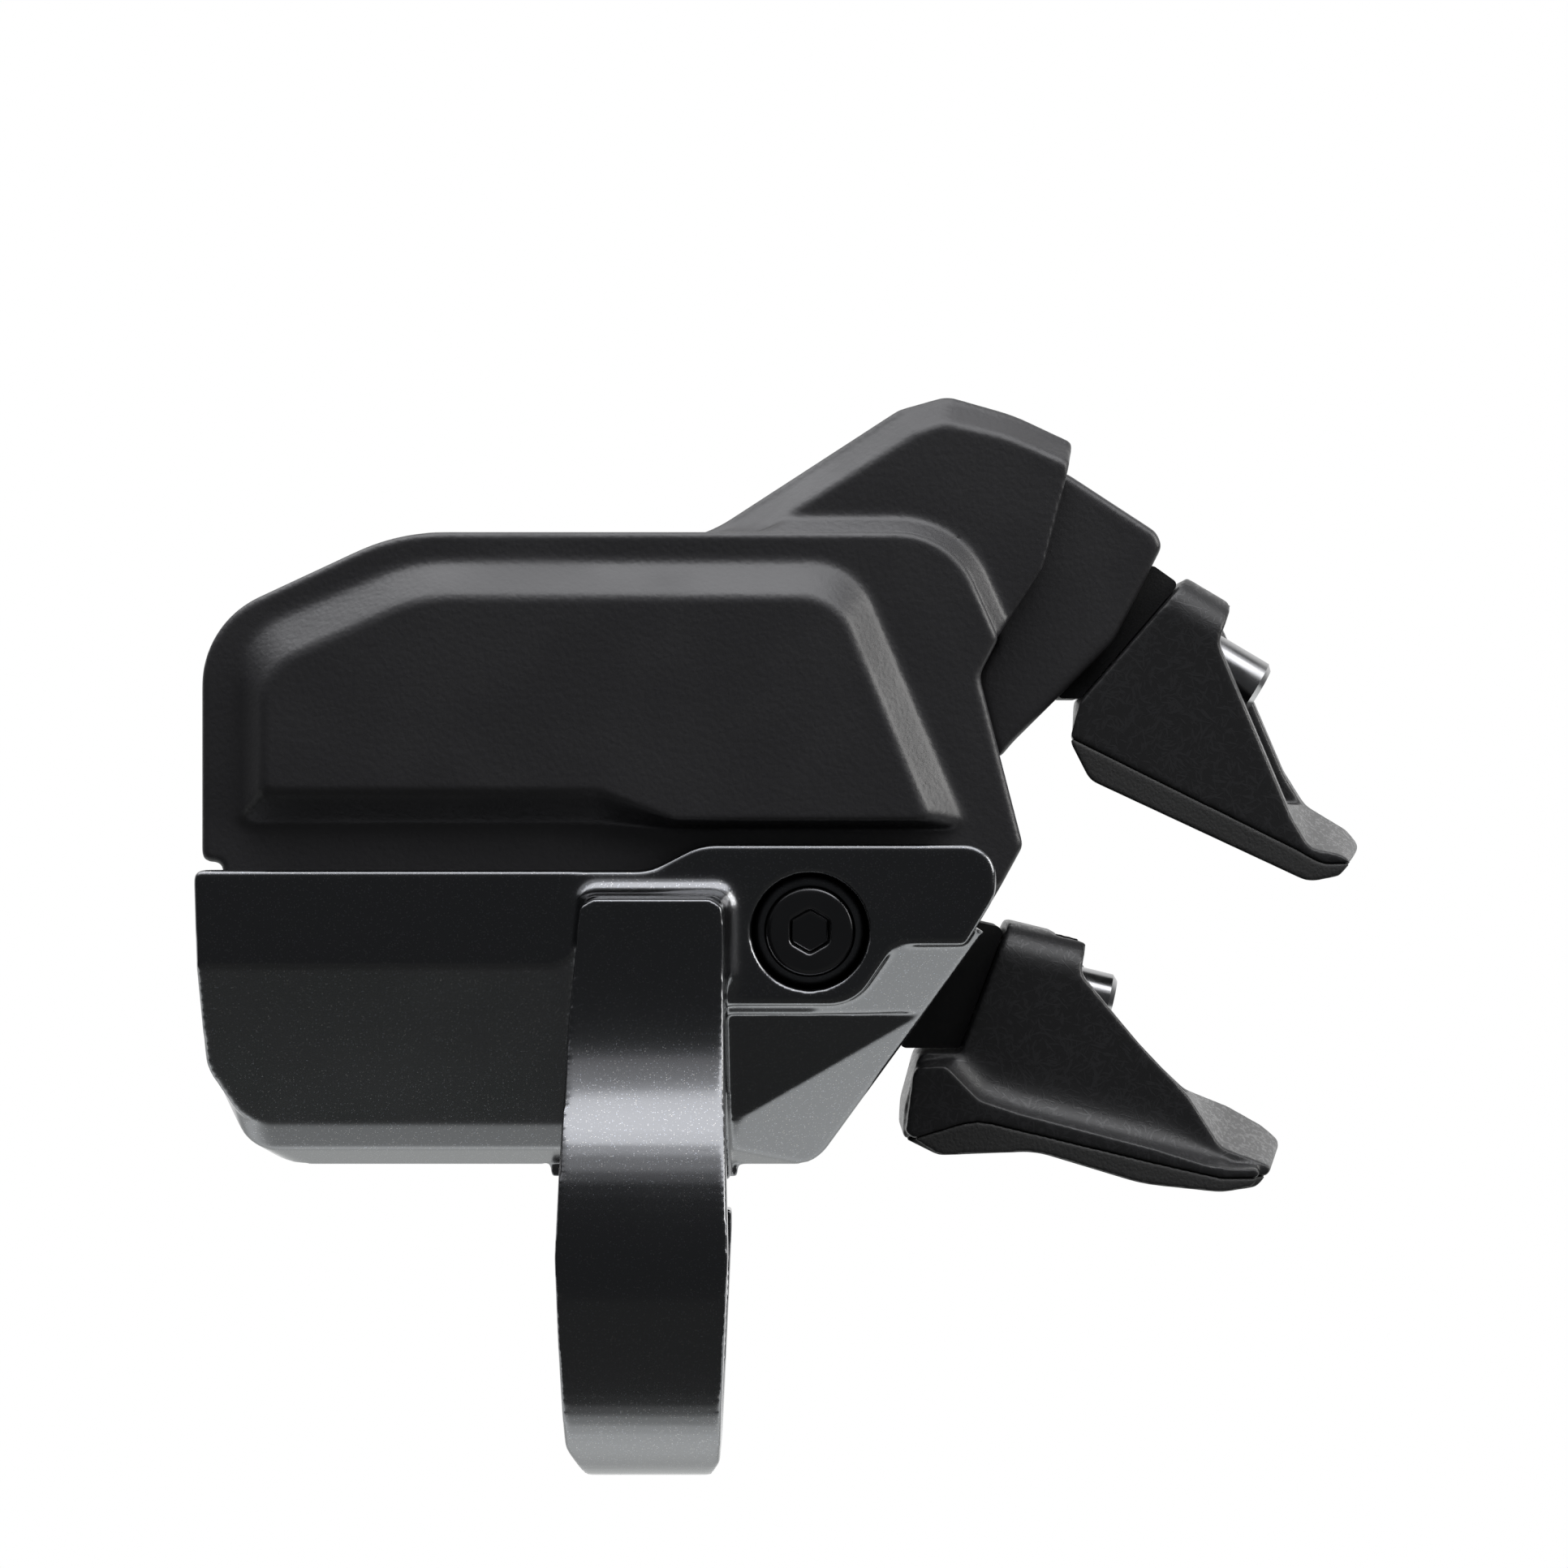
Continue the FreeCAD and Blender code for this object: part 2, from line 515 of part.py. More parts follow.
def lever_core(lever):
    hub = rod_y(lever.pivot, HUB_RADIUS, lever.y0, lever.y1)
    stem = lever.stem(0.0).cut(half_space(lever.seat, lever.out))
    tail_x, tail_z, length = lever.spec["tail"]
    tip = lever.hub + Vector(tail_x, 0, tail_z) * length
    side = Vector(-tail_z, 0, tail_x) * TAIL_HALF
    corners = (lever.hub - side, tip - side, tip + side, lever.hub + side)
    tail = prism([(p.x, p.z, RUN) for p in corners], LEVER_Y - STEM_WIDTH / 2, LEVER_Y + STEM_WIDTH / 2)
    core = hub.fuse([stem, tail])
    half = SPRING_SLOT / 2
    core = core.cut(rod_y(lever.pivot, HUB_RADIUS + RUN, LEVER_Y - half, LEVER_Y + half))
    core = core.cut(rod_y(lever.pivot, PIN_RADIUS + PIN_RUN, lever.y0 - OVER, lever.y1 + OVER))
    depth = lever.spec["reach"] - HUB_RADIUS - PADDLE_BOLT_SPARE + OVER
    mouth = lever.seat + lever.axis * OVER
    return core.cut(Part.makeCylinder(PADDLE_BOLT_RADIUS + CLEAR, depth, mouth, lever.axis * -1))


def lever_boot(lever):
    sleeve = prism(lever.spec["boot"], lever.y0, lever.y1).cut(lever.stem(CLEAR))
    return sleeve.cut(rod_y(lever.pivot, HUB_RADIUS + RUN, lever.y0 - OVER, lever.y1 + OVER))


def paddle_bolt(lever):
    start = lever.seat - lever.axis * (lever.spec["reach"] - HUB_RADIUS - 1.5 * PADDLE_BOLT_SPARE)
    floor = lever.seat + lever.axis * (PADDLE_BASE + PADDLE_HEAD_GAP)
    end = lever.seat + lever.axis * lever.spec["head_end"]
    shank = Part.makeCylinder(PADDLE_BOLT_RADIUS, (floor - start).Length + OVER, start, lever.axis)
    head = Part.makeCylinder(PADDLE_HEAD_RADIUS, (end - floor).Length, floor, lever.axis)
    head = head.makeChamfer(PADDLE_HEAD_CHAMFER, [edge for edge in head.Edges if edge.Closed])
    return head.fuse(shank).cut(key_hole(end, lever.axis * -1, PADDLE_KEY))


def paddle_hub(lever, y0, y1):
    """Long arch along the bolt axis that rounds the top of a paddle."""
    section = outline_wire([(-y1, -FAR, 0.0), (-y0, -FAR, 0.0), (-y0, ARCH_TOP, ARCH_CORNER),
                            (-y1, ARCH_TOP, ARCH_CORNER)], 0)
    arch = Part.Face(section).extrude(Vector(0, FAR, 0))
    start = lever.seat - lever.axis * (FAR / 3)
    arch.Placement = FreeCAD.Placement(FreeCAD.Matrix(
        0, lever.axis.x, lever.up.x, start.x,
        -1, 0, 0, 0,
        0, lever.axis.z, lever.up.z, start.z))
    return arch


def thumb_shelf(lever, wall_y):
    """Shelf that flares out of the front wall along a quarter of an ellipse."""
    slices = []
    for k in range(SHELF_STEPS + 1):
        turn = math.pi / 2 * k / SHELF_STEPS
        spread = 1 - math.cos(turn)
        outline = [(x + dx * spread, z + dz * spread, r) for (x, z, r), (dx, dz) in lever.spec["shelf"]]
        slices.append((outline, wall_y - SHELF_REACH * (1 - math.sin(turn))))
    slices.append((slices[-1][0], wall_y + PADDLE_WALL / 2))
    return stack(slices)


def paddle_pocket(lever, y0, y1):
    """Space round the bolt head: open to the right, with a floor that runs out level at the toe."""
    (ax, az), (bx, bz) = lever.spec["floor"]
    run = Vector(bx - ax, 0, bz - az).normalize()
    wall = lever.along
    sx, sz = lever.at(0.0, PADDLE_BASE)
    t = ((ax - sx) * run.z - (az - sz) * run.x) / (wall.x * run.z - wall.z * run.x)
    top_x, top_z = lever.at(FAR / 4, PADDLE_BASE)
    corners = [(top_x, top_z, 0.0), (sx + wall.x * t, sz + wall.z * t, PADDLE_HEEL), (bx, bz, PADDLE_TOE),
               (bx + FAR, bz, 0.0), (bx + FAR, top_z, 0.0)]
    return prism(corners, y0 + PADDLE_WALL, y1 - PADDLE_WALL)


def paddle_solid(lever):
    y0, y1 = LEVER_Y - PADDLE_WIDTH / 2, LEVER_Y + PADDLE_WIDTH / 2
    body = frustum(lever.spec["front"], y0, lever.spec["rear"], y1).common(paddle_hub(lever, y0, y1))
    behind_seat = half_space(lever.seat, lever.out * -1)
    body = body.cut(behind_seat.common(block(-FAR, FAR, 0, FAR, lever.spec["trim_z"], FAR)))
    if lever.spec["shelf"]:
        body = body.fuse(thumb_shelf(lever, y0))
    body = body.cut(paddle_pocket(lever, y0, y1))
    mouth = lever.seat - lever.axis * OVER
    radius = PADDLE_BOLT_RADIUS + BOLT_HOLE_CLEAR
    return body.cut(Part.makeCylinder(radius, PADDLE_BASE + 2 * OVER, mouth, lever.axis))


def return_spring(lever):
    """Torsion spring on the pivot pin, one leg on the housing and one under the stem."""
    radius = PIN_RADIUS + PIN_RUN + SPRING_WIRE
    height = SPRING_PITCH * SPRING_TURNS
    helix = Part.makeHelix(SPRING_PITCH, height, radius)
    start = Part.Wire(Part.makeCircle(SPRING_WIRE / 2, Vector(radius, 0, 0), Vector(0, 1, 0)))
    coil = Part.Wire(helix).makePipeShell([start], True, True)
    low = Part.makeCylinder(SPRING_WIRE / 2, SPRING_LEG, Vector(radius, 0, 0), Vector(0, -1, 0))
    high = Part.makeCylinder(SPRING_WIRE / 2, SPRING_LEG, Vector(radius, 0, height), Vector(0, 1, 0))
    spring = coil.fuse([low, high])
    spring.Placement = FreeCAD.Placement(Vector(lever.pivot[0], LEVER_Y + height / 2, lever.pivot[1]),
                                         FreeCAD.Rotation(Vector(1, 0, 0), 90))
    return spring


def slope_normal():
    return Vector(0, -1, -SLOPE).normalize()


def slope_outside():
    """Everything in front of the sloping face of the bracket."""
    return half_space(Vector(0, PLATE_Y, SLOPE_TOP), slope_normal())


def flank_inside(gap):
    """Half space in front of the inner face of the bracket flank, moved in by gap."""
    return half_space(FLANK_POINT - FLANK_NORMAL * (BRACKET_WALL + gap), FLANK_NORMAL)


def front_case():
    shell = rounded(prism(CASE_OUTLINE, RIM_Y, PARTING_Y), EDGE, lambda e: lies_at(e, RIM_Y))
    shell = shell.fuse(soft_step(PANEL_FOOT, RIM_Y, PANEL_TOP, RIM_Y - PANEL_RISE))
    cavity = prism(inset(CASE_OUTLINE, CASE_WALL), RIM_Y + CASE_WALL, PARTING_Y + OVER)
    columns = [rod_y(c, SCREW_COLUMN, RIM_Y, PARTING_Y) for c in SCREWS]
    posts = [rod_y(c, POST_RADIUS, RIM_Y, BOARD_Y) for c in BOARD_POSTS]
    boss = rod_y(BRACKET_BOLT, INSERT_RADIUS + INSERT_WALL, RIM_Y, PARTING_Y - OVER + CLEAR)
    outer = prism(CASE_OUTLINE, RIM_Y, BOARD_Y)
    shell = shell.cut(cavity).fuse([item.common(outer) for item in columns + posts + [boss]])
    shell = shell.cut(rod_y(BRACKET_BOLT, BRACKET_BOSS + 2 * CLEAR, RIM_Y - OVER, BRACKET_BOSS_Y + CLEAR))
    shell = shell.cut(rod_y(BRACKET_BOLT, INSERT_RADIUS, RIM_Y, PARTING_Y))
    for centre in SCREWS:
        shell = shell.cut(rod_y(centre, SCREW_RADIUS, RIM_Y + SCREW_HOLE_FLOOR, PARTING_Y + OVER))
    return shell.cut(gasket_loop()).cut(flank_inside(CLEAR))


def gasket_loop():
    side = (CASE_WALL - GASKET * 1.4) / 2
    outer = prism(inset(CASE_OUTLINE, side), PARTING_Y - GASKET, PARTING_Y)
    return outer.cut(prism(inset(CASE_OUTLINE, CASE_WALL - side), PARTING_Y - GASKET, PARTING_Y))


def at_pivot(spec, points):
    """Outline measured from the pivot of a lever."""
    px, pz = spec["pivot"]
    return [(px + x, pz + z, radius) for x, z, radius in points]


def pivot_box(spec, box):
    """Box measured from the pivot of a lever, as x, x, z, z."""
    px, pz = spec["pivot"]
    x0, x1, z0, z1 = box
    return (px + x0, px + x1, pz + z0, pz + z1)


def paddle_arm():
    arm = prism(ARM_OUTLINE, ARM_Y0, ARM_Y1)
    arm = rounded(arm, EDGE, lambda e: lies_at(e, ARM_Y0) and e.CenterOfMass.x > ARM_SHOWN_X)
    arm = arm.cut(prism(at_pivot(UPPER, ARM_SLOT), SLOT_Y0, SLOT_Y1))
    arm = arm.cut(rod_y(UPPER["pivot"], HUB_RADIUS + RUN, SLOT_Y0, SLOT_Y1))
    arm = arm.cut(rod_y(UPPER["pivot"], PIN_RADIUS, ARM_Y0 + CHEEK / 2, ARM_Y1 + OVER))
    x0, x1, z0, z1 = pivot_box(UPPER, UPPER_SWITCH)
    half = SWITCH_HALF + CLEAR
    room = block(x0 - 2 * OVER, x1 + CLEAR, LEVER_Y - half, LEVER_Y + half, z0 - CLEAR, z1 + 3 * OVER)
    return arm.cut(room)


def case_bead():
    """Sloping bead on the hood along the edge of the front case."""
    bead = frustum(inset(CASE_OUTLINE, -BEAD_LIP), PARTING_Y - BEAD, inset(CASE_OUTLINE, -BEAD), PARTING_Y)
    return bead.cut(prism(inset(CASE_OUTLINE, -CLEAR), 0, PARTING_Y)).common(prism(HOOD_FACE, 0, PARTING_Y))


def rear_cavity():
    """Room inside the rear case, less the battery cup, the screw columns and the block of the clevis."""
    cavity = prism(inset(CASE_OUTLINE, CASE_WALL), PARTING_Y - OVER, BACK_Y - CASE_WALL)
    x0, x1, z0 = CLEVIS_ROOM
    cavity = cavity.cut(block(x0, x1, PARTING_Y - 2 * OVER, BACK_Y, z0, LOWER["pivot"][1] + CLEVIS_CEILING))
    cavity = cavity.cut(rod_y(CELL, COVER_RADIUS + CUP_WALL, CUP_FLOOR_Y - CUP_FLOOR, BACK_Y))
    for centre in SCREWS:
        cavity = cavity.cut(rod_y(centre, SCREW_COLUMN, PARTING_Y - OVER, BACK_Y))
    return cavity


def rear_case():
    bevel_y = PARTING_Y + HOOD_BEVEL
    hood = prism(HOOD_OUTLINE, bevel_y, HOOD_Y1).fuse(soft_step(HOOD_FACE, PARTING_Y, HOOD_OUTLINE, bevel_y))
    clevis = prism(CLEVIS_OUTLINE, ARM_Y0, ARM_Y1)
    shell = prism(CASE_OUTLINE, PARTING_Y, BACK_Y).fuse([hood, case_bead(), clevis]).cut(rear_cavity())
    shell = shell.cut(rod_y(CELL, CELL_RADIUS + CELL_CLEAR, CUP_FLOOR_Y, BACK_Y + OVER))
    shell = shell.cut(rod_y(CELL, COVER_RADIUS + CLEAR, BACK_Y - COVER_THICK - SEAL, BACK_Y + OVER))
    for slot in contact_openings():
        shell = shell.cut(slot)
    x0, x1, z0, z1 = pivot_box(LOWER, LOWER_SWITCH)
    length, overhang, thick = LEDGE
    front = LEVER_Y - SWITCH_HALF - overhang
    shell = shell.fuse(block(x0 - length, x1, front, BACK_Y - OVER, z0 - thick, z0))
    x0, x1, z0, z1 = pivot_box(UPPER, UPPER_SWITCH)
    length, half = RIBBON_SLOT
    shell = shell.cut(block(x0 - length, x0 + OVER, LEVER_Y - half, LEVER_Y + half, z0 - CLEAR, z1 + CLEAR))
    shell = shell.cut(prism(inset(ARM_OUTLINE, -CLEAR), ARM_Y0 - ARM_GAP, ARM_Y1 + ARM_GAP))
    shell = shell.cut(prism(at_pivot(LOWER, CLEVIS_SLOT), SLOT_Y0, SLOT_Y1))
    x0, x1, z0, z1 = pivot_box(LOWER, TAIL_SLOT)
    half = STEM_WIDTH / 2 + RUN
    shell = shell.cut(block(x0, x1, LEVER_Y - half, LEVER_Y + half, z0, z1))
    shell = shell.cut(rod_y(LOWER["pivot"], PIN_RADIUS, ARM_Y0 + CHEEK / 2, ARM_Y1 + OVER))
    for centre in SCREWS:
        shell = shell.cut(rod_y(centre, SCREW_RADIUS + SCREW_FREE, PARTING_Y - OVER, BACK_Y + OVER))
        shell = shell.cut(rod_y(centre, SCREW_HEAD + SCREW_FREE, BACK_Y - SCREW_SEAT, BACK_Y + OVER))
    return shell


def bracket_shell():
    """Plate, sloping face, flank and chin of the bracket, hollowed from behind."""
    plate = prism(PLATE_OUTLINE, PLATE_Y, RIM_Y)
    plate = rounded(plate, EDGE, lambda e: lies_at(e, PLATE_Y) and (
        e.CenterOfMass.z > SLOPE_TOP + EDGE or e.CenterOfMass.x > NECK_FOOT[1][0] + EDGE))
    slab = prism(CHIN_FRONT, PLATE_Y, CHIN_Y0)
    slab = slab.fuse(stack([(CHIN_FRONT, CHIN_Y0), (CHIN_MID, CHIN_Y_MID), (CHIN_BACK, CHIN_Y1)]))
    hollow = prism(inset(CHIN_FRONT, BRACKET_WALL), RIM_Y, CHIN_Y1 + OVER)
    hollow = hollow.fuse(block(*HOLLOW_X, RIM_Y, CHIN_Y1 + OVER, *HOLLOW_Z))
    slab = slab.cut(slope_outside()).cut(half_space(FLANK_POINT, FLANK_NORMAL))
    inner_crest = Vector(0, PLATE_Y, SLOPE_TOP) - slope_normal() * BRACKET_WALL
    hollow = hollow.cut(half_space(inner_crest, slope_normal())).cut(flank_inside(0.0))
    scoop = half_space(POCKET_POINT, POCKET_NORMAL)
    slab = slab.cut(scoop.common(block(POCKET_X, FAR, -FAR, FAR, -FAR, POCKET_TOP)))
    scoop = half_space(POCKET_POINT - POCKET_NORMAL * BRACKET_WALL, POCKET_NORMAL)
    hollow = hollow.cut(scoop.common(block(POCKET_X, FAR, -FAR, FAR, -FAR, POCKET_TOP + BRACKET_WALL)))
    x0, x1, z0 = SILL
    sill = prism(PLATE_OUTLINE, PLATE_Y + EDGE, CHIN_Y0)
    sill = sill.common(block(x0, x1, 0, FAR, z0, CASE_BOTTOM - CLEAR))
    return slab.cut(hollow).fuse([plate, sill])


def bar_loop():
    """Ring round the bar with its neck, trimmed to the outline of the band."""
    half = max(abs(x) for x, _, _ in BAND_OUTLINE) + OVER
    ring_radius = BAR_RADIUS + BAND_WALL
    ring = rod_x(0, 0, ring_radius, -half, half)
    neck = block(-half, half, NECK_Y, NECK_BACK, *NECK_Z)
    crease = math.sqrt(ring_radius ** 2 - NECK_Y ** 2)
    loop = rounded(ring.fuse(neck), NECK_FILLET, lambda e: (
        e.Length > half and lies_at(e, NECK_Y) and abs(e.CenterOfMass.z - crease) < CLEAR))
    saddle = block(-half, half, 0, CHIN_Y1, SADDLE_Z0, CASE_BOTTOM - OVER).cut(slope_outside())
    return loop.fuse(saddle).common(prism(BAND_OUTLINE, -FAR, FAR))


def neck_flare():
    """Hollow fillet that carries the neck out of the plate and ends on the sloping face."""
    slices = []
    for k in range(NECK_STEPS + 1):
        turn = math.pi / 2 * k / NECK_STEPS
        spread = NECK_ROOT * (1 - math.sin(turn))
        slices.append((inset(NECK_FOOT, -spread), PLATE_Y - NECK_ROOT * (1 - math.cos(turn))))
    return stack(slices).cut(slope_outside().common(block(-FAR, 0, -FAR, FAR, -FAR, FAR)))


def clamp_lug(x0, x1, y0, z0, z1):
    """Lug behind the band with its two rear corners rounded."""
    return rounded(block(x0, x1, y0, LUG_Y1, z0, z1), LUG_CORNER, lambda e: (
        lies_at(e, LUG_Y1) and e.Vertexes[0].X == e.Vertexes[1].X))


def clamp_bracket():
    slit_floor = SLIT_TOP - SLIT_GAP
    upper_lug = clamp_lug(LUG_X0, LUG_X1, LUG_Y0, slit_floor, LUG_TOP)
    lower_lug = clamp_lug(*LOWER_LUG_X, LUG_Y0 - LOWER_LUG_ROOT, slit_floor - LOWER_LUG_HEIGHT, SLIT_TOP)
    body = bracket_shell().fuse([bar_loop(), neck_flare(), upper_lug, lower_lug])
    seat = prism(inset(CASE_OUTLINE, -CLEAR), RIM_Y, FAR).cut(flank_inside(0.0))
    boss = rod_y(BRACKET_BOLT, BRACKET_BOSS, PLATE_Y + EDGE, BRACKET_BOSS_Y)
    body = body.cut(seat).fuse(boss)
    body = body.cut(rod_x(0, 0, BAR_RADIUS, -FAR, FAR))
    body = body.cut(block(-FAR, FAR, SLIT_Y0, FAR, slit_floor, SLIT_TOP))
    body = body.cut(rod_y(BRACKET_BOLT, BRACKET_RECESS, PLATE_Y - OVER, BRACKET_RECESS_FLOOR))
    radius = BRACKET_BOLT_RADIUS + BOLT_HOLE_CLEAR
    body = body.cut(rod_y(BRACKET_BOLT, radius, PLATE_Y, BRACKET_BOSS_Y + OVER))
    body = body.cut(rod_z(0, CLAMP_BOLT_Y, CLAMP_BOLT_RADIUS + BOLT_HOLE_CLEAR, -FAR, LUG_TOP + OVER))
    return body.cut(rod_x(CLAMP_BOLT_Y, CLAMP_NUT_Z, CLAMP_NUT_RADIUS + CLEAR, -FAR, FAR))


def bracket_bolt():
    x, z = BRACKET_BOLT
    top = BRACKET_RECESS_FLOOR - BRACKET_HEAD_HEIGHT
    head = rod_y(BRACKET_BOLT, BRACKET_HEAD_RADIUS, top, BRACKET_RECESS_FLOOR)
    head = rounded(head, HEAD_EDGE, lambda e: e.Closed and lies_at(e, top))
    end = BRACKET_BOSS_Y + INSERT_LENGTH - THREAD_SPARE
    shank = rod_y(BRACKET_BOLT, BRACKET_BOLT_RADIUS, top + OVER, end)
    return head.fuse(shank).cut(key_hole(Vector(x, top, z), Vector(0, 1, 0), BRACKET_KEY, BRACKET_KEY_TURN))


def bracket_insert():
    y0 = BRACKET_BOSS_Y + CLEAR
    y1 = y0 + INSERT_LENGTH
    sleeve = rod_y(BRACKET_BOLT, INSERT_RADIUS - CLEAR / 2, y0, y1)
    return sleeve.cut(rod_y(BRACKET_BOLT, BRACKET_BOLT_RADIUS + CLEAR / 2, y0 - OVER, y1 + OVER))


def clamp_bolt():
    seat = SLIT_TOP - SLIT_GAP - LOWER_LUG_HEIGHT
    end = seat - CLAMP_HEAD_HEIGHT
    head = rod_z(0, CLAMP_BOLT_Y, CLAMP_HEAD_RADIUS, end, seat)
    head = rounded(head, HEAD_EDGE, lambda e: e.Closed and e.CenterOfMass.z < seat - CLEAR)
    top = CLAMP_NUT_Z + CLAMP_NUT_RADIUS - THREAD_SPARE
    shank = rod_z(0, CLAMP_BOLT_Y, CLAMP_BOLT_RADIUS, seat - OVER, top)
    return head.fuse(shank).cut(key_hole(Vector(0, CLAMP_BOLT_Y, end), Vector(0, 0, 1), CLAMP_KEY))


def clamp_nut():
    x0, x1 = LUG_X0 + CLAMP_NUT_SINK, LUG_X1 - CLAMP_NUT_SINK
    nut = rod_x(CLAMP_BOLT_Y, CLAMP_NUT_Z, CLAMP_NUT_RADIUS, x0, x1)
    return nut.cut(rod_z(0, CLAMP_BOLT_Y, CLAMP_BOLT_RADIUS + CLEAR / 2, -FAR, FAR))


def case_screw(centre):
    seat = BACK_Y - SCREW_SEAT
    top = BACK_Y - SCREW_SINK
    head = rod_y(centre, SCREW_HEAD, seat, top)
    shank = rod_y(centre, SCREW_RADIUS - CLEAR / 2, RIM_Y + SCREW_END, seat + EDGE)
    return head.fuse(shank).cut(key_hole(Vector(centre[0], top, centre[1]), Vector(0, -1, 0), SCREW_KEY))


def battery_cover():
    top = BACK_Y + COVER_PROUD
    disc = rod_y(CELL, COVER_RADIUS, BACK_Y - COVER_THICK, top)
    disc = rounded(disc, EDGE, lambda e: e.Closed and lies_at(e, top))
    half_x, half_z = COVER_SLOT
    return disc.cut(block(CELL[0] - half_x, CELL[0] + half_x, BACK_Y - COVER_SLOT_FLOOR, top + OVER,
                          CELL[1] - half_z, CELL[1] + half_z))


def battery_seal():
    y1 = BACK_Y - COVER_THICK
    outer = rod_y(CELL, COVER_RADIUS - SEAL_FIT, y1 - SEAL, y1)
    return outer.cut(rod_y(CELL, COVER_RADIUS - SEAL_FIT - SEAL_WIDTH, y1 - SEAL - OVER, y1 + OVER))


def battery_contact_minus():
    """Spring tongue on the cup floor with a leg down to the board."""
    x0 = CELL[0] - CONTACT_REACH
    z0, z1 = CELL[1] - CONTACT_HALF, CELL[1] + CONTACT_HALF
    tongue = block(x0, CELL[0] + CONTACT_TIP, CUP_FLOOR_Y, CUP_FLOOR_Y + CONTACT, z0, z1)
    return tongue.fuse(block(x0, x0 + CONTACT, BOARD_Y + BOARD_THICK, CUP_FLOOR_Y + CONTACT, z0, z1))


def battery_contact_plus():
    """Blade that touches the rim of the cell, with a leg down to the board."""
    x = CELL[0] + CELL_RADIUS + CLEAR
    top = CUP_FLOOR_Y + CONTACT + CELL_THICK * BLADE_SHARE
    return block(x, x + BLADE, BOARD_Y + BOARD_THICK, top, CELL[1] - BLADE_HALF, CELL[1] + BLADE_HALF)


def contact_openings():
    """Slots in the cup floor for the two contact legs."""
    slots = []
    for x, sheet, half in ((CELL[0] - CONTACT_REACH, CONTACT, CONTACT_HALF),
                           (CELL[0] + CELL_RADIUS + CLEAR, BLADE, BLADE_HALF)):
        slots.append(block(x - CLEAR, x + sheet + CLEAR, CUP_FLOOR_Y - CUP_FLOOR - OVER, CUP_FLOOR_Y + CLEAR,
                           CELL[1] - half - CLEAR, CELL[1] + half + CLEAR))
    return slots


def coin_cell():
    y0 = CUP_FLOOR_Y + CONTACT
    return rounded(rod_y(CELL, CELL_RADIUS, y0, y0 + CELL_THICK), CELL_EDGE, lambda e: e.Closed)


def radio_module():
    x, z = RADIO_CENTRE
    half = RADIO_SIDE / 2
    return block(x - half, x + half, BOARD_Y - RADIO_THICK, BOARD_Y, z - half, z + half)


def switch_body(box, button):
    """Sealed key switch: a block with a low button on one side."""
    x0, x1, z0, z1 = box
    body = block(x0, x1, LEVER_Y - SWITCH_HALF, LEVER_Y + SWITCH_HALF, z0, z1)
    way = Vector(button[0], 0, button[1])
    middle = Vector((x0 + x1) / 2, LEVER_Y, (z0 + z1) / 2)
    base = middle + Vector(way.x * (x1 - x0) / 2, 0, way.z * (z1 - z0) / 2)
    return body.fuse(Part.makeCylinder(BUTTON_RADIUS, BUTTON_RISE, base, way))


def ribbon(box):
    """Flat cable from the board to a switch, laid as a path of (x, y) points."""
    start = BOARD_Y + BOARD_THICK + RIBBON / 2
    path = [(RIBBON_X[0], start), (RIBBON_X[1], start), (box[0] - RIBBON_BEND, LEVER_Y), (box[0], LEVER_Y)]
    z0 = box[2]
    pieces = [rod_z(x, y, RIBBON / 2, z0, z0 + RIBBON_HEIGHT) for x, y in path[1:-1]]
    for (ax, ay), (bx, by) in zip(path, path[1:]):
        d = Vector(bx - ax, by - ay, 0).normalize()
        n = Vector(-d.y, d.x, 0) * (RIBBON / 2)
        a, b = Vector(ax, ay, z0), Vector(bx, by, z0)
        strip = Part.Face(Part.makePolygon([a - n, b - n, b + n, a + n, a - n]))
        pieces.append(strip.extrude(Vector(0, 0, RIBBON_HEIGHT)))
    return pieces[0].fuse(pieces[1:])


def save_lever(spec):
    """Everything that belongs to one paddle."""
    lever = Lever(spec)
    save(lever_core(lever), lever.name + "_lever")
    save(lever_boot(lever), lever.name + "_boot")
    whole = paddle_solid(lever)
    below = prism(spec["seam"] + sharp([(FAR, -FAR), (0.0, -FAR)]), 0, FAR)
    save(whole.cut(below), lever.name + "_paddle")
    save(whole.common(below), lever.name + "_pad")
    save(paddle_bolt(lever), lever.name + "_paddle_bolt")
    save(return_spring(lever), lever.name + "_return_spring")
    save(rod_y(lever.pivot, PIN_RADIUS, ARM_Y0 + CHEEK / 2, ARM_Y1), lever.name + "_pivot_pin")


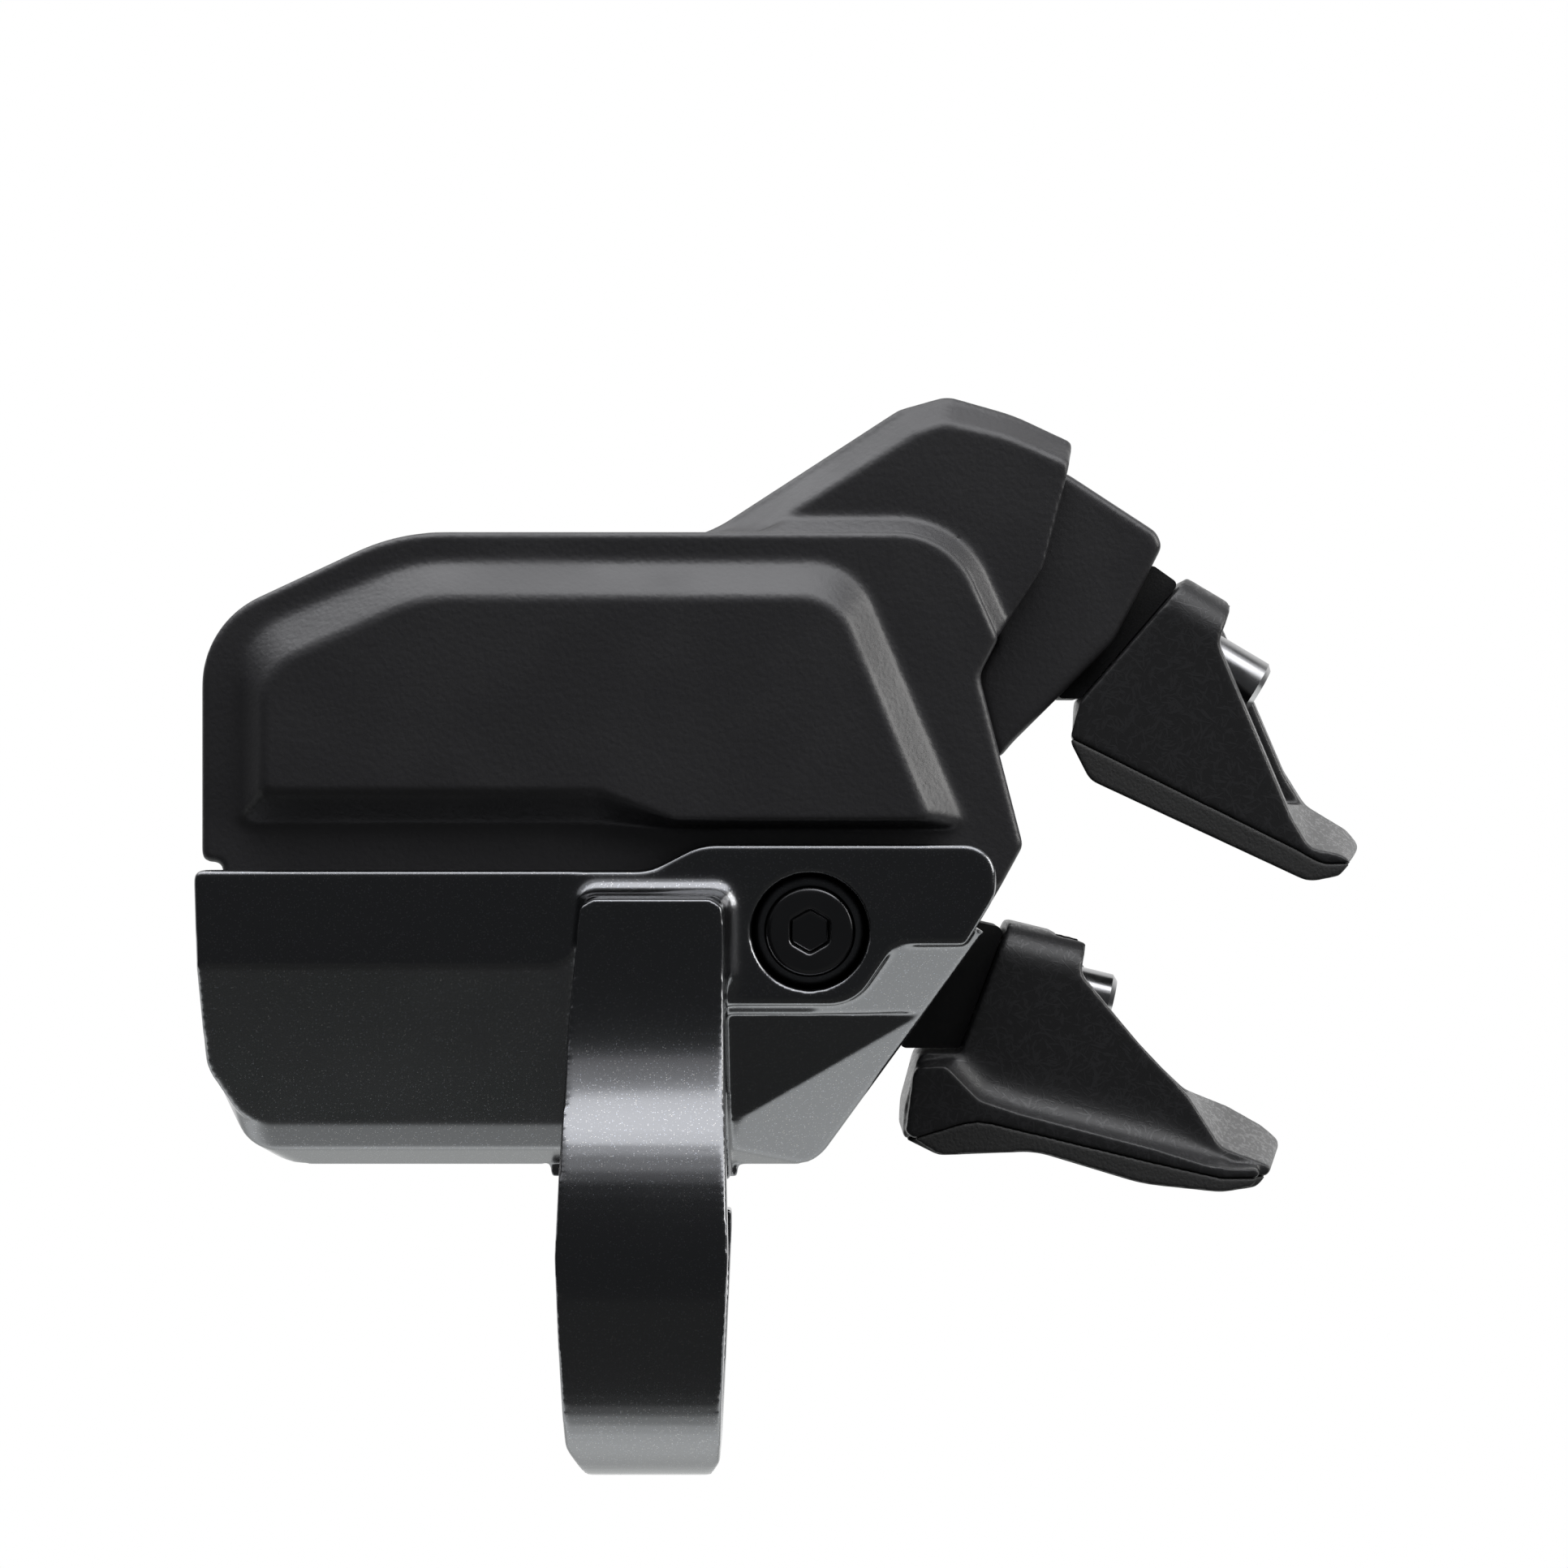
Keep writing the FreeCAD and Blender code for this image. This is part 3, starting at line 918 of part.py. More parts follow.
def main():
    save(front_case(), "front_case")
    save(rear_case(), "rear_case")
    save(gasket_loop(), "case_gasket")
    for number, centre in enumerate(SCREWS, 1):
        save(case_screw(centre), "case_screw_%d" % number)
    save(paddle_arm(), "paddle_arm")
    save(clamp_bracket(), "clamp_bracket")
    save(clamp_bolt(), "clamp_bolt")
    save(clamp_nut(), "clamp_nut")
    save(bracket_bolt(), "bracket_bolt")
    save(bracket_insert(), "bracket_insert")
    save(prism(BOARD_OUTLINE, BOARD_Y, BOARD_Y + BOARD_THICK), "circuit_board")
    save(radio_module(), "radio_module")
    save(coin_cell(), "coin_cell")
    save(battery_cover(), "battery_cover")
    save(battery_seal(), "battery_seal")
    save(battery_contact_plus(), "battery_contact_plus")
    save(battery_contact_minus(), "battery_contact_minus")
    save(switch_body(pivot_box(UPPER, UPPER_SWITCH), (0, 1)), "upper_switch")
    save(ribbon(pivot_box(UPPER, UPPER_SWITCH)), "upper_ribbon")
    save(switch_body(pivot_box(LOWER, LOWER_SWITCH), (1, 0)), "lower_switch")
    save(ribbon(pivot_box(LOWER, LOWER_SWITCH)), "lower_ribbon")
    save_lever(UPPER)
    save_lever(LOWER)


main()
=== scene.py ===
# %% [markdown]
# # An electronic shift switch in black
#
# The switch clamps on a bicycle handlebar: a moulded case, a painted metal bracket with a band round the bar,
# and two thumb paddles. Everything on it is black, so the picture is made by reflections: which edge is
# rounded, which face is grained and what each face mirrors. The lesson follows that order.

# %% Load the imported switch
import json
import math

import bmesh
import bpy
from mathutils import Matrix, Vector


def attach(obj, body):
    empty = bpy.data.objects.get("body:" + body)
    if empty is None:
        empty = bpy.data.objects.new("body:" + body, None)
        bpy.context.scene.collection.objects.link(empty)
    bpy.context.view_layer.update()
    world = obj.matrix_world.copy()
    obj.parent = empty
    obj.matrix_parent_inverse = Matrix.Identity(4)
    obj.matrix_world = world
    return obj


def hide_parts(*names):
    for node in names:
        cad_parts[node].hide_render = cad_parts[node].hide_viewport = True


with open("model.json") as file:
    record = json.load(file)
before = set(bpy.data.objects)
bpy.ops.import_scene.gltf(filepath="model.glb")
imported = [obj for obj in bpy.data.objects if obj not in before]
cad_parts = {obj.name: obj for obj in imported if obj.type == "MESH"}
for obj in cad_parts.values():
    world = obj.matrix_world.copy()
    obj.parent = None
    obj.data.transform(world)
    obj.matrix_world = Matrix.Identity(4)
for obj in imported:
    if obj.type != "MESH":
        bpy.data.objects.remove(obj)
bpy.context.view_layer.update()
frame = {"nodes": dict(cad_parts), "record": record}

MM = 0.001
NODES = frame["nodes"]

# %% [markdown]
# ## Camera
# The picture looks straight at the face that the rider sees, with almost no perspective. A long lens far
# away gives that. The frame is a square 100.1 mm wide at the bar's axis, so the focal length follows from
# the distance and the sensor's width.

# %% Camera
FRAME_WIDTH = 100.1 * MM
CAMERA_DISTANCE = 350 * MM
FRAME_CENTRE = Vector((8.76, 0.0, 30.0)) * MM


def studio_camera():
    data = bpy.data.cameras.new("studio_camera")
    data.sensor_width = 36.0
    data.lens = data.sensor_width * CAMERA_DISTANCE / FRAME_WIDTH
    data.clip_start = 0.01
    camera = bpy.data.objects.new("studio_camera", data)
    camera.location = FRAME_CENTRE + Vector((0.0, -CAMERA_DISTANCE, 0.0))
    camera.rotation_euler = (math.radians(90), 0.0, 0.0)
    bpy.context.scene.collection.objects.link(camera)
    bpy.context.scene.camera = camera
    return camera


print("lens %.1f mm" % studio_camera().data.lens)

# %% [markdown]
# ## Two small helpers
# A node tree is a row of small sums. Two helpers keep them short: one places a Math node and joins whatever
# it is given, a socket or a number. The other places a Map Range node with a soft start and a soft end.

# %% Helpers for node trees


def math_node(tree, operation, first, second):
    """Math node whose operands are sockets or plain numbers; returns its output."""
    node = tree.nodes.new("ShaderNodeMath")
    node.operation = operation
    for slot, value in enumerate((first, second)):
        if isinstance(value, (int, float)):
            node.inputs[slot].default_value = value
        else:
            tree.links.new(value, node.inputs[slot])
    return node.outputs[0]


def map_range(tree, value, low, high, to_low, to_high):
    """Map Range node with soft ends; returns its output."""
    node = tree.nodes.new("ShaderNodeMapRange")
    node.interpolation_type = "SMOOTHSTEP"
    tree.links.new(value, node.inputs["Value"])
    for label, number in (("From Min", low), ("From Max", high), ("To Min", to_low), ("To Max", to_high)):
        node.inputs[label].default_value = number
    return node.outputs["Result"]


print("helpers ready")

# %% [markdown]
# ## Light
# Black gloss shows the lamps themselves. A bright strip inside a wider, dimmer softbox overhead draws the
# pale upper bevels and the bright belt on the band, with a soft edge. A third softbox on the right draws the
# right-hand bevels. From below, a glass table over a reflector lights the underside: the reflector is pale
# behind the switch and dark in front of it, so that faces that lean down and forward stay dark. It is seen
# in reflections only, and the floor is seen by the camera and keeps the shadow. Gloss that mirrors the side
# behind the switch shows the white backdrop.

# %% Lamps, world and stage
COOL_WHITE = (0.97, 0.975, 1.0)
WARM_WHITE = (1.0, 0.99, 0.97)
# Name, place and size in metres, watts and colour
SOFTBOXES = (
    ("overhead_strip", (-0.03, -0.07, 0.53), (1.1, 0.35), 3.1, COOL_WHITE),
    ("overhead_softbox", (-0.03, -0.12, 0.56), (1.25, 0.68), 1.7, COOL_WHITE),
    ("right_softbox", (0.48, -0.12, 0.23), (0.26, 0.30), 1.3, WARM_WHITE),
)
SUN_STRENGTH = 1.0
SUN_SPREAD_DEG = 40
SUN_TILT_DEG = (20, 8)
AMBIENT = 0.058
BACKDROP_EDGE = (0.1, 0.7)
REFLECTOR_HALF = 1.2
REFLECTOR_DROP = 0.40
REFLECTOR_REACH = (-0.09, 0.51)
REFLECTOR_GLOW = 1.5
REFLECTOR_STEPS = ((0.0, 0.05), (0.3, 1.0), (0.9, 0.5))
FLOOR_HALF = 3.0
FLOOR_DROP = 0.055
FLOOR_FADE = (0.12, 0.24)


def softbox(name, place, size, power, colour):
    """Area lamp that faces the switch, seen in reflections as a plain rectangle."""
    data = bpy.data.lights.new(name, "AREA")
    data.shape = "RECTANGLE"
    data.size, data.size_y = size
    data.energy = power
    data.color = colour
    lamp = bpy.data.objects.new(name, data)
    lamp.location = Vector(place)
    aim = FRAME_CENTRE - lamp.location
    lamp.rotation_euler = aim.to_track_quat("-Z", "Y").to_euler()
    bpy.context.scene.collection.objects.link(lamp)


def stage_plane(name, half, drop):
    """Square plane below the switch, no part of the object."""
    mesh = bpy.data.meshes.new(name)
    corners = [(-half, -half, -drop), (half, -half, -drop), (half, half, -drop), (-half, half, -drop)]
    mesh.from_pydata(corners, [], [(0, 1, 2, 3)])
    plane = bpy.data.objects.new(name, mesh)
    bpy.context.scene.collection.objects.link(plane)
    return plane


def white_world():
    """White for the camera, and for gloss and glass that mirror the side behind the switch; dim elsewhere."""
    world = bpy.data.worlds.new("studio_world")
    bpy.context.scene.world = world
    world.use_nodes = True
    tree = world.node_tree
    nodes, links = tree.nodes, tree.links
    nodes.clear()
    path = nodes.new("ShaderNodeLightPath")
    seen = nodes.new("ShaderNodeBackground")
    seen.inputs["Color"].default_value = (1.0, 1.0, 1.0, 1.0)
    dim = nodes.new("ShaderNodeBackground")
    dim.inputs["Color"].default_value = (0.93, 0.96, 1.0, 1.0)
    dim.inputs["Strength"].default_value = AMBIENT
    mirrored = math_node(tree, "MAXIMUM", path.outputs["Is Glossy Ray"], path.outputs["Is Transmission Ray"])
    way = nodes.new("ShaderNodeTexCoord")
    split = nodes.new("ShaderNodeSeparateXYZ")
    links.new(way.outputs["Generated"], split.inputs[0])
    behind = map_range(tree, split.outputs["Y"], *BACKDROP_EDGE, 0.0, 1.0)
    backdrop = math_node(tree, "MULTIPLY", mirrored, behind)
    mix = nodes.new("ShaderNodeMixShader")
    out = nodes.new("ShaderNodeOutputWorld")
    links.new(math_node(tree, "MAXIMUM", path.outputs["Is Camera Ray"], backdrop), mix.inputs["Fac"])
    links.new(dim.outputs[0], mix.inputs[1])
    links.new(seen.outputs[0], mix.inputs[2])
    links.new(mix.outputs[0], out.inputs["Surface"])


def plain_sun():
    """Even light for colours and for the floor's shadow; gloss shows the softboxes instead."""
    data = bpy.data.lights.new("plain_sun", "SUN")
    data.energy = SUN_STRENGTH
    data.angle = math.radians(SUN_SPREAD_DEG)
    sun = bpy.data.objects.new("plain_sun", data)
    sun.rotation_euler = (math.radians(SUN_TILT_DEG[0]), math.radians(SUN_TILT_DEG[1]), 0.0)
    sun.visible_glossy = False
    bpy.context.scene.collection.objects.link(sun)


def floor_paper():
    """Pale paper that keeps the shadow near the switch and runs out to plain white for the camera."""
    paper = bpy.data.materials.new("floor_paper")
    paper.use_nodes = True
    tree = paper.node_tree
    nodes, links = tree.nodes, tree.links
    matte = nodes["Principled BSDF"]
    matte.inputs["Base Color"].default_value = (0.86, 0.86, 0.86, 1.0)
    matte.inputs["Roughness"].default_value = 1.0
    matte.inputs["Specular IOR Level"].default_value = 0.0
    place = nodes.new("ShaderNodeTexCoord")
    away = nodes.new("ShaderNodeVectorMath")
    away.operation = "LENGTH"
    links.new(place.outputs["Object"], away.inputs[0])
    fade = map_range(tree, away.outputs["Value"], *FLOOR_FADE, 0.0, 1.0)
    path = nodes.new("ShaderNodeLightPath")
    white = nodes.new("ShaderNodeEmission")
    mix = nodes.new("ShaderNodeMixShader")
    links.new(math_node(tree, "MULTIPLY", fade, path.outputs["Is Camera Ray"]), mix.inputs["Fac"])
    links.new(matte.outputs[0], mix.inputs[1])
    links.new(white.outputs[0], mix.inputs[2])
    links.new(mix.outputs[0], nodes["Material Output"].inputs["Surface"])
    return paper


def reflector_glow():
    """Glow that rises from the dark front of the reflector to a pale belt and fades again behind it."""
    glow = bpy.data.materials.new("reflector_glow")
    glow.use_nodes = True
    glow.cycles.emission_sampling = "NONE"
    nodes, links = glow.node_tree.nodes, glow.node_tree.links
    nodes.clear()
    place = nodes.new("ShaderNodeTexCoord")
    split = nodes.new("ShaderNodeSeparateXYZ")
    along = nodes.new("ShaderNodeMapRange")
    along.inputs["From Min"].default_value, along.inputs["From Max"].default_value = REFLECTOR_REACH
    belt = nodes.new("ShaderNodeValToRGB")
    belt.color_ramp.interpolation = "EASE"
    belt.color_ramp.elements.new(0.5)
    for stop, (position, level) in zip(belt.color_ramp.elements, REFLECTOR_STEPS):
        stop.position, stop.color = position, (0.98 * level, level, 0.99 * level, 1.0)
    light = nodes.new("ShaderNodeEmission")
    light.inputs["Strength"].default_value = REFLECTOR_GLOW
    out = nodes.new("ShaderNodeOutputMaterial")
    links.new(place.outputs["Object"], split.inputs[0])
    links.new(split.outputs["Y"], along.inputs["Value"])
    links.new(along.outputs["Result"], belt.inputs["Fac"])
    links.new(belt.outputs["Color"], light.inputs["Color"])
    links.new(light.outputs[0], out.inputs["Surface"])
    return glow


bpy.context.scene.view_settings.view_transform = "Standard"
white_world()
plain_sun()
floor = stage_plane("floor", FLOOR_HALF, FLOOR_DROP)
floor.data.materials.append(floor_paper())
floor.visible_glossy = False
floor.visible_diffuse = False
reflector = stage_plane("under_reflector", REFLECTOR_HALF, REFLECTOR_DROP)
reflector.data.materials.append(reflector_glow())
reflector.visible_camera = False
reflector.visible_diffuse = False
reflector.visible_shadow = False
for lamp in SOFTBOXES:
    softbox(*lamp)
print("stage set:", [lamp[0] for lamp in SOFTBOXES])

# %% [markdown]
# ## Shared surface effects
# Two effects are used by several finishes, so each is a node group: the leather-like grain of moulded plastic
# and the slow unevenness that handling leaves in any gloss. The tiny specks of the flake paint get a group as
# well, which keeps that finish short. A group only puts out numbers and colours; the shader stays in the
# material.

# %% Helpers for node groups


def new_group(name, inputs, outputs):
    """Node group with its sockets: inputs are (name, default), outputs are (name, socket type)."""
    group = bpy.data.node_groups.new(name, "ShaderNodeTree")
    for label, value in inputs:
        socket = group.interface.new_socket(label, in_out="INPUT", socket_type="NodeSocketFloat")
        socket.default_value = value
    for label, kind in outputs:
        group.interface.new_socket(label, in_out="OUTPUT", socket_type=kind)
    return group, group.nodes.new("NodeGroupInput"), group.nodes.new("NodeGroupOutput")


def object_coordinates(tree):
    return tree.nodes.new("ShaderNodeTexCoord").outputs["Object"]


def scaled(tree, vector, factor):
    """Vector times a number or a socket."""
    node = tree.nodes.new("ShaderNodeVectorMath")
    node.operation = "SCALE"
    tree.links.new(vector, node.inputs[0])
    if isinstance(factor, (int, float)):
        node.inputs["Scale"].default_value = factor
    else:
        tree.links.new(factor, node.inputs["Scale"])
    return node.outputs[0]


def noise(tree, vector, scale, detail=2.0, roughness=0.5):
    node = tree.nodes.new("ShaderNodeTexNoise")
    tree.links.new(vector, node.inputs["Vector"])
    node.inputs["Scale"].default_value = scale
    node.inputs["Detail"].default_value = detail
    node.inputs["Roughness"].default_value = roughness
    return node


# %% Moulded grain, handling haze and paint flakes


def moulded_grain_group():
    """Soft pebbles with shallow valleys between them, as a mould etched to look like leather leaves them."""
    group, given, result = new_group(
        "moulded_grain",
        [("Pebble Size mm", 0.45)],
        [("Height", "NodeSocketFloat"), ("Tone", "NodeSocketFloat")],
    )
    place = object_coordinates(group)
    per_pebble = math_node(group, "DIVIDE", 1000.0, given.outputs["Pebble Size mm"])
    grid = scaled(group, place, per_pebble)
    drift = noise(group, grid, 0.8, 1.0)
    bent = group.nodes.new("ShaderNodeVectorMath")
    bent.operation = "MULTIPLY_ADD"
    group.links.new(drift.outputs["Color"], bent.inputs[0])
    bent.inputs[1].default_value = (0.9, 0.9, 0.9)
    group.links.new(grid, bent.inputs[2])
    pebbles = group.nodes.new("ShaderNodeTexVoronoi")
    pebbles.feature = "SMOOTH_F1"
    pebbles.inputs["Scale"].default_value = 1.0
    pebbles.inputs["Smoothness"].default_value = 0.6
    group.links.new(bent.outputs[0], pebbles.inputs["Vector"])
    fine = noise(group, grid, 2.6, 3.0, 0.6)
    dome = math_node(group, "SUBTRACT", 1.0, pebbles.outputs["Distance"])
    rough = math_node(group, "MULTIPLY", fine.outputs["Fac"], 0.45)
    group.links.new(math_node(group, "ADD", dome, rough), result.inputs["Height"])
    group.links.new(map_range(group, pebbles.outputs["Distance"], 0.2, 0.8, 1.0, 0.86), result.inputs["Tone"])
    return group


def handling_haze_group():
    """Slow cloudy change, some millimetres across, for the roughness of any handled surface."""
    group, given, result = new_group("handling_haze", [("Patch Size mm", 9.0)], [("Haze", "NodeSocketFloat")])
    per_patch = math_node(group, "DIVIDE", 1000.0, given.outputs["Patch Size mm"])
    cloud = noise(group, scaled(group, object_coordinates(group), per_patch), 1.0, 4.0, 0.6)
    group.links.new(map_range(group, cloud.outputs["Fac"], 0.3, 0.7, 0.0, 1.0), result.inputs["Haze"])
    return group


def paint_flake_group():
    """Tiny flat metal flakes: a mask, a tint and a height that tilts each flake its own way."""
    group, given, result = new_group(
        "paint_flakes",
        [("Flake Size mm", 0.07), ("Share", 0.12)],
        [("Mask", "NodeSocketFloat"), ("Tint", "NodeSocketColor"), ("Height", "NodeSocketFloat")],
    )
    per_flake = math_node(group, "DIVIDE", 1000.0, given.outputs["Flake Size mm"])
    grid = scaled(group, object_coordinates(group), per_flake)
    cells = group.nodes.new("ShaderNodeTexVoronoi")
    cells.inputs["Scale"].default_value = 1.0
    group.links.new(grid, cells.inputs["Vector"])
    split = group.nodes.new("ShaderNodeSeparateColor")
    group.links.new(cells.outputs["Color"], split.inputs["Color"])
    chosen = math_node(group, "LESS_THAN", split.outputs["Red"], given.outputs["Share"])
    near = map_range(group, cells.outputs["Distance"], 0.28, 0.5, 1.0, 0.0)
    spot = math_node(group, "MULTIPLY", chosen, near)
    strength = math_node(group, "MULTIPLY", spot, split.outputs["Green"])
    group.links.new(strength, result.inputs["Mask"])
    tint = group.nodes.new("ShaderNodeMix")
    tint.data_type = "RGBA"
    tint.inputs["A"].default_value = (0.32, 0.35, 0.41, 1.0)
    tint.inputs["B"].default_value = (0.42, 0.40, 0.37, 1.0)
    group.links.new(split.outputs["Blue"], tint.inputs["Factor"])
    group.links.new(tint.outputs["Result"], result.inputs["Tint"])
    slant = math_node(group, "MULTIPLY", cells.outputs["Distance"], strength)
    group.links.new(slant, result.inputs["Height"])
    return group


GRAIN = moulded_grain_group()
HAZE = handling_haze_group()
FLAKES = paint_flake_group()
print("groups:", [g.name for g in (GRAIN, HAZE, FLAKES)])

# %% [markdown]
# ## Finishes
# Each finish is one material named for the piece that wears it. Colours are written dark, as the real
# pieces are: about a fortieth of white for the case. The gloss does the rest. The bracket's paint is written
# as a dim metal, because its flakes mirror the lamps.

# %% Helpers for finishes


class Finish:
    """A material under construction: its node tree, its Principled shader and a few ways to join them."""

    def __init__(self, name, colour, roughness, metallic=0.0):
        self.material = bpy.data.materials.new(name)
        self.material.use_nodes = True
        self.tree = self.material.node_tree
        self.shader = self.tree.nodes["Principled BSDF"]
        self.shader.inputs["Base Color"].default_value = (*colour, 1.0)
        self.shader.inputs["Roughness"].default_value = roughness
        self.shader.inputs["Metallic"].default_value = metallic
        self.colour = colour

    def group(self, group, **values):
        node = self.tree.nodes.new("ShaderNodeGroup")
        node.node_tree = group
        for label, value in values.items():
            node.inputs[label.replace("_", " ")].default_value = value
        return node.outputs

    def bump(self, height, depth_mm):
        node = self.tree.nodes.new("ShaderNodeBump")
        node.inputs["Strength"].default_value = 1.0
        node.inputs["Distance"].default_value = depth_mm * MM
        self.tree.links.new(height, node.inputs["Height"])
        return node.outputs["Normal"]

    def join(self, output, socket):
        self.tree.links.new(output, self.shader.inputs[socket])

    def haze(self, low, high, patch_mm=9.0):
        """Roughness that drifts between two values."""
        cloud = self.group(HAZE, Patch_Size_mm=patch_mm)["Haze"]
        self.join(map_range(self.tree, cloud, 0.0, 1.0, low, high), "Roughness")

    def toned(self, tone, low, high):
        """Base colour times a value that runs from low to high with the tone."""
        mix = self.tree.nodes.new("ShaderNodeMix")
        mix.data_type = "RGBA"
        mix.inputs["A"].default_value = (*[c * low for c in self.colour], 1.0)
        mix.inputs["B"].default_value = (*[c * high for c in self.colour], 1.0)
        self.tree.links.new(tone, mix.inputs["Factor"])
        self.join(mix.outputs["Result"], "Base Color")


# %% [markdown]
# ## The visible skins
# The case is moulded in a mould etched like leather. The bracket is cast, painted black with flakes and
# lacquered. The paddles are filled with short fibres, which lie in the face in all directions, and their
# soles are rough rubber. Each detail is a small height for the Bump node and a small change of tone.

# %% Case plastic, flake paint, paddle plastic and rubber


def case_plastic():
    """Black moulded shell with a fine leather grain."""
    finish = Finish("case_plastic_grained", (0.026, 0.0255, 0.0275), 0.42)
    finish.shader.inputs["Specular IOR Level"].default_value = 0.7
    grain = finish.group(GRAIN, Pebble_Size_mm=0.36)
    finish.toned(grain["Tone"], 0.85, 1.06)
    finish.haze(0.38, 0.46)
    finish.join(finish.bump(grain["Height"], 0.015), "Normal")
    return finish.material


def flake_paint():
    """Black enamel full of metal flakes under a clear coat."""
    finish = Finish("bracket_flake_paint", (0.165, 0.168, 0.175), 0.20, 1.0)
    flakes = finish.group(FLAKES, Flake_Size_mm=0.085, Share=0.22)
    mix = finish.tree.nodes.new("ShaderNodeMix")
    mix.data_type = "RGBA"
    mix.inputs["A"].default_value = (*finish.colour, 1.0)
    finish.tree.links.new(flakes["Mask"], mix.inputs["Factor"])
    finish.tree.links.new(flakes["Tint"], mix.inputs["B"])
    finish.join(mix.outputs["Result"], "Base Color")
    finish.haze(0.20, 0.22)
    finish.join(finish.bump(flakes["Height"], 0.005), "Normal")
    finish.shader.inputs["Coat Weight"].default_value = 0.35
    finish.shader.inputs["Coat Roughness"].default_value = 0.08
    return finish.material


def fibre_streaks(finish, turns, length_mm, width_mm):
    """Sum of thin streaks in several directions, like short fibres lying in a moulded face."""
    total = None
    for turn in turns:
        mapping = finish.tree.nodes.new("ShaderNodeMapping")
        mapping.vector_type = "TEXTURE"
        mapping.inputs["Rotation"].default_value = (0.0, math.radians(turn), 0.0)
        mapping.inputs["Scale"].default_value = (length_mm * MM, length_mm * MM, width_mm * MM)
        mapping.inputs["Location"].default_value = (turn * MM, 0.0, 0.3 * turn * MM)
        finish.tree.links.new(object_coordinates(finish.tree), mapping.inputs["Vector"])
        cloud = noise(finish.tree, mapping.outputs["Vector"], 1.0, 1.0)
        streak = map_range(finish.tree, cloud.outputs["Fac"], 0.60, 0.70, 0.0, 1.0)
        total = streak if total is None else math_node(finish.tree, "MAXIMUM", total, streak)
    return total


def paddle_plastic():
    """Satin black plastic filled with short fibres that show as faint crossing streaks."""
    finish = Finish("paddle_fibre_plastic", (0.018, 0.018, 0.019), 0.36)
    streaks = fibre_streaks(finish, (12, 47, 83, 118, 156), 0.9, 0.2)
    finish.toned(streaks, 0.9, 1.55)
    finish.join(map_range(finish.tree, streaks, 0.0, 1.0, 0.40, 0.30), "Roughness")
    finish.join(finish.bump(streaks, 0.004), "Normal")
    return finish.material


def pad_rubber():
    """Rough grippy sole under each paddle."""
    finish = Finish("pad_rough_rubber", (0.024, 0.024, 0.024), 0.62)
    grain = finish.group(GRAIN, Pebble_Size_mm=0.22)
    finish.toned(grain["Tone"], 0.6, 1.25)
    finish.haze(0.58, 0.70, 5.0)
    finish.join(finish.bump(grain["Height"], 0.02), "Normal")
    return finish.material


def soft_rubber():
    """Matte black rubber of boots and seals."""
    finish = Finish("boot_rubber", (0.008, 0.008, 0.0085), 0.62)
    finish.haze(0.55, 0.70, 3.0)
    grain = finish.group(GRAIN, Pebble_Size_mm=0.15)
    finish.join(finish.bump(grain["Height"], 0.008), "Normal")
    return finish.material


# %% [markdown]
# ## Metals and small parts
# Screws, pins and springs are turned or drawn, so fine marks break up their gloss. The pieces inside the case
# are plain mouldings and plated parts. Most of them only show when the switch is opened, but they get their
# own finish too.

# %% Metals and small parts


def turned_metal(name, colour, low, high, ring_mm=0.12, depth_mm=0.002):
    """Metal with the fine turning marks of a lathe, and a roughness that drifts."""
    finish = Finish(name, colour, low, 1.0)
    finish.haze(low, high, 2.5)
    place = scaled(finish.tree, object_coordinates(finish.tree), 1.0 / (ring_mm * MM))
    marks = noise(finish.tree, place, 1.0, 3.0, 0.7)
    finish.join(finish.bump(marks.outputs["Fac"], depth_mm), "Normal")
    return finish.material


def small_plastic(name, colour, low, high, pebble_mm=0.3, depth_mm=0.008):
    """Plain moulded, printed or plated surface of a small inner piece."""
    finish = Finish(name, colour, low)
    finish.haze(low, high, 4.0)
    grain = finish.group(GRAIN, Pebble_Size_mm=pebble_mm)
    finish.toned(grain["Tone"], 0.85, 1.05)
    finish.join(finish.bump(grain["Height"], depth_mm), "Normal")
    return finish.material


FINISHES = {
    "case_plastic": case_plastic(),
    "cast_paint": flake_paint(),
    "paddle_plastic": paddle_plastic(),
    "pad_rubber": pad_rubber(),
    "soft_rubber": soft_rubber(),
    "black_steel": turned_metal("black_oxide_steel", (0.12, 0.12, 0.124), 0.18, 0.24),
    "bolt_steel": turned_metal("paddle_bolt_steel", (0.40, 0.40, 0.405), 0.20, 0.27),
    "plain_steel": turned_metal("bright_steel", (0.55, 0.55, 0.56), 0.22, 0.32),
    "spring_steel": turned_metal("spring_wire", (0.42, 0.42, 0.43), 0.25, 0.35),
    "brass": turned_metal("insert_brass", (0.62, 0.44, 0.19), 0.25, 0.35),
    "lever_metal": turned_metal("anodised_lever", (0.035, 0.035, 0.037), 0.32, 0.42),
    "cell": turned_metal("cell_can", (0.62, 0.62, 0.61), 0.18, 0.28),
    "contact": turned_metal("plated_contact", (0.70, 0.58, 0.32), 0.22, 0.32),
    "module": turned_metal("tinned_can", (0.58, 0.58, 0.58), 0.30, 0.42),
    "cover_plastic": small_plastic("battery_cover_plastic", (0.019, 0.019, 0.020), 0.36, 0.46),
    "board": small_plastic("solder_mask", (0.012, 0.085, 0.034), 0.28, 0.36),
    "switch": small_plastic("switch_moulding", (0.025, 0.025, 0.026), 0.32, 0.40),
    "ribbon": small_plastic("ribbon_film", (0.42, 0.19, 0.04), 0.28, 0.38),
}
print("finishes:", len(FINISHES))

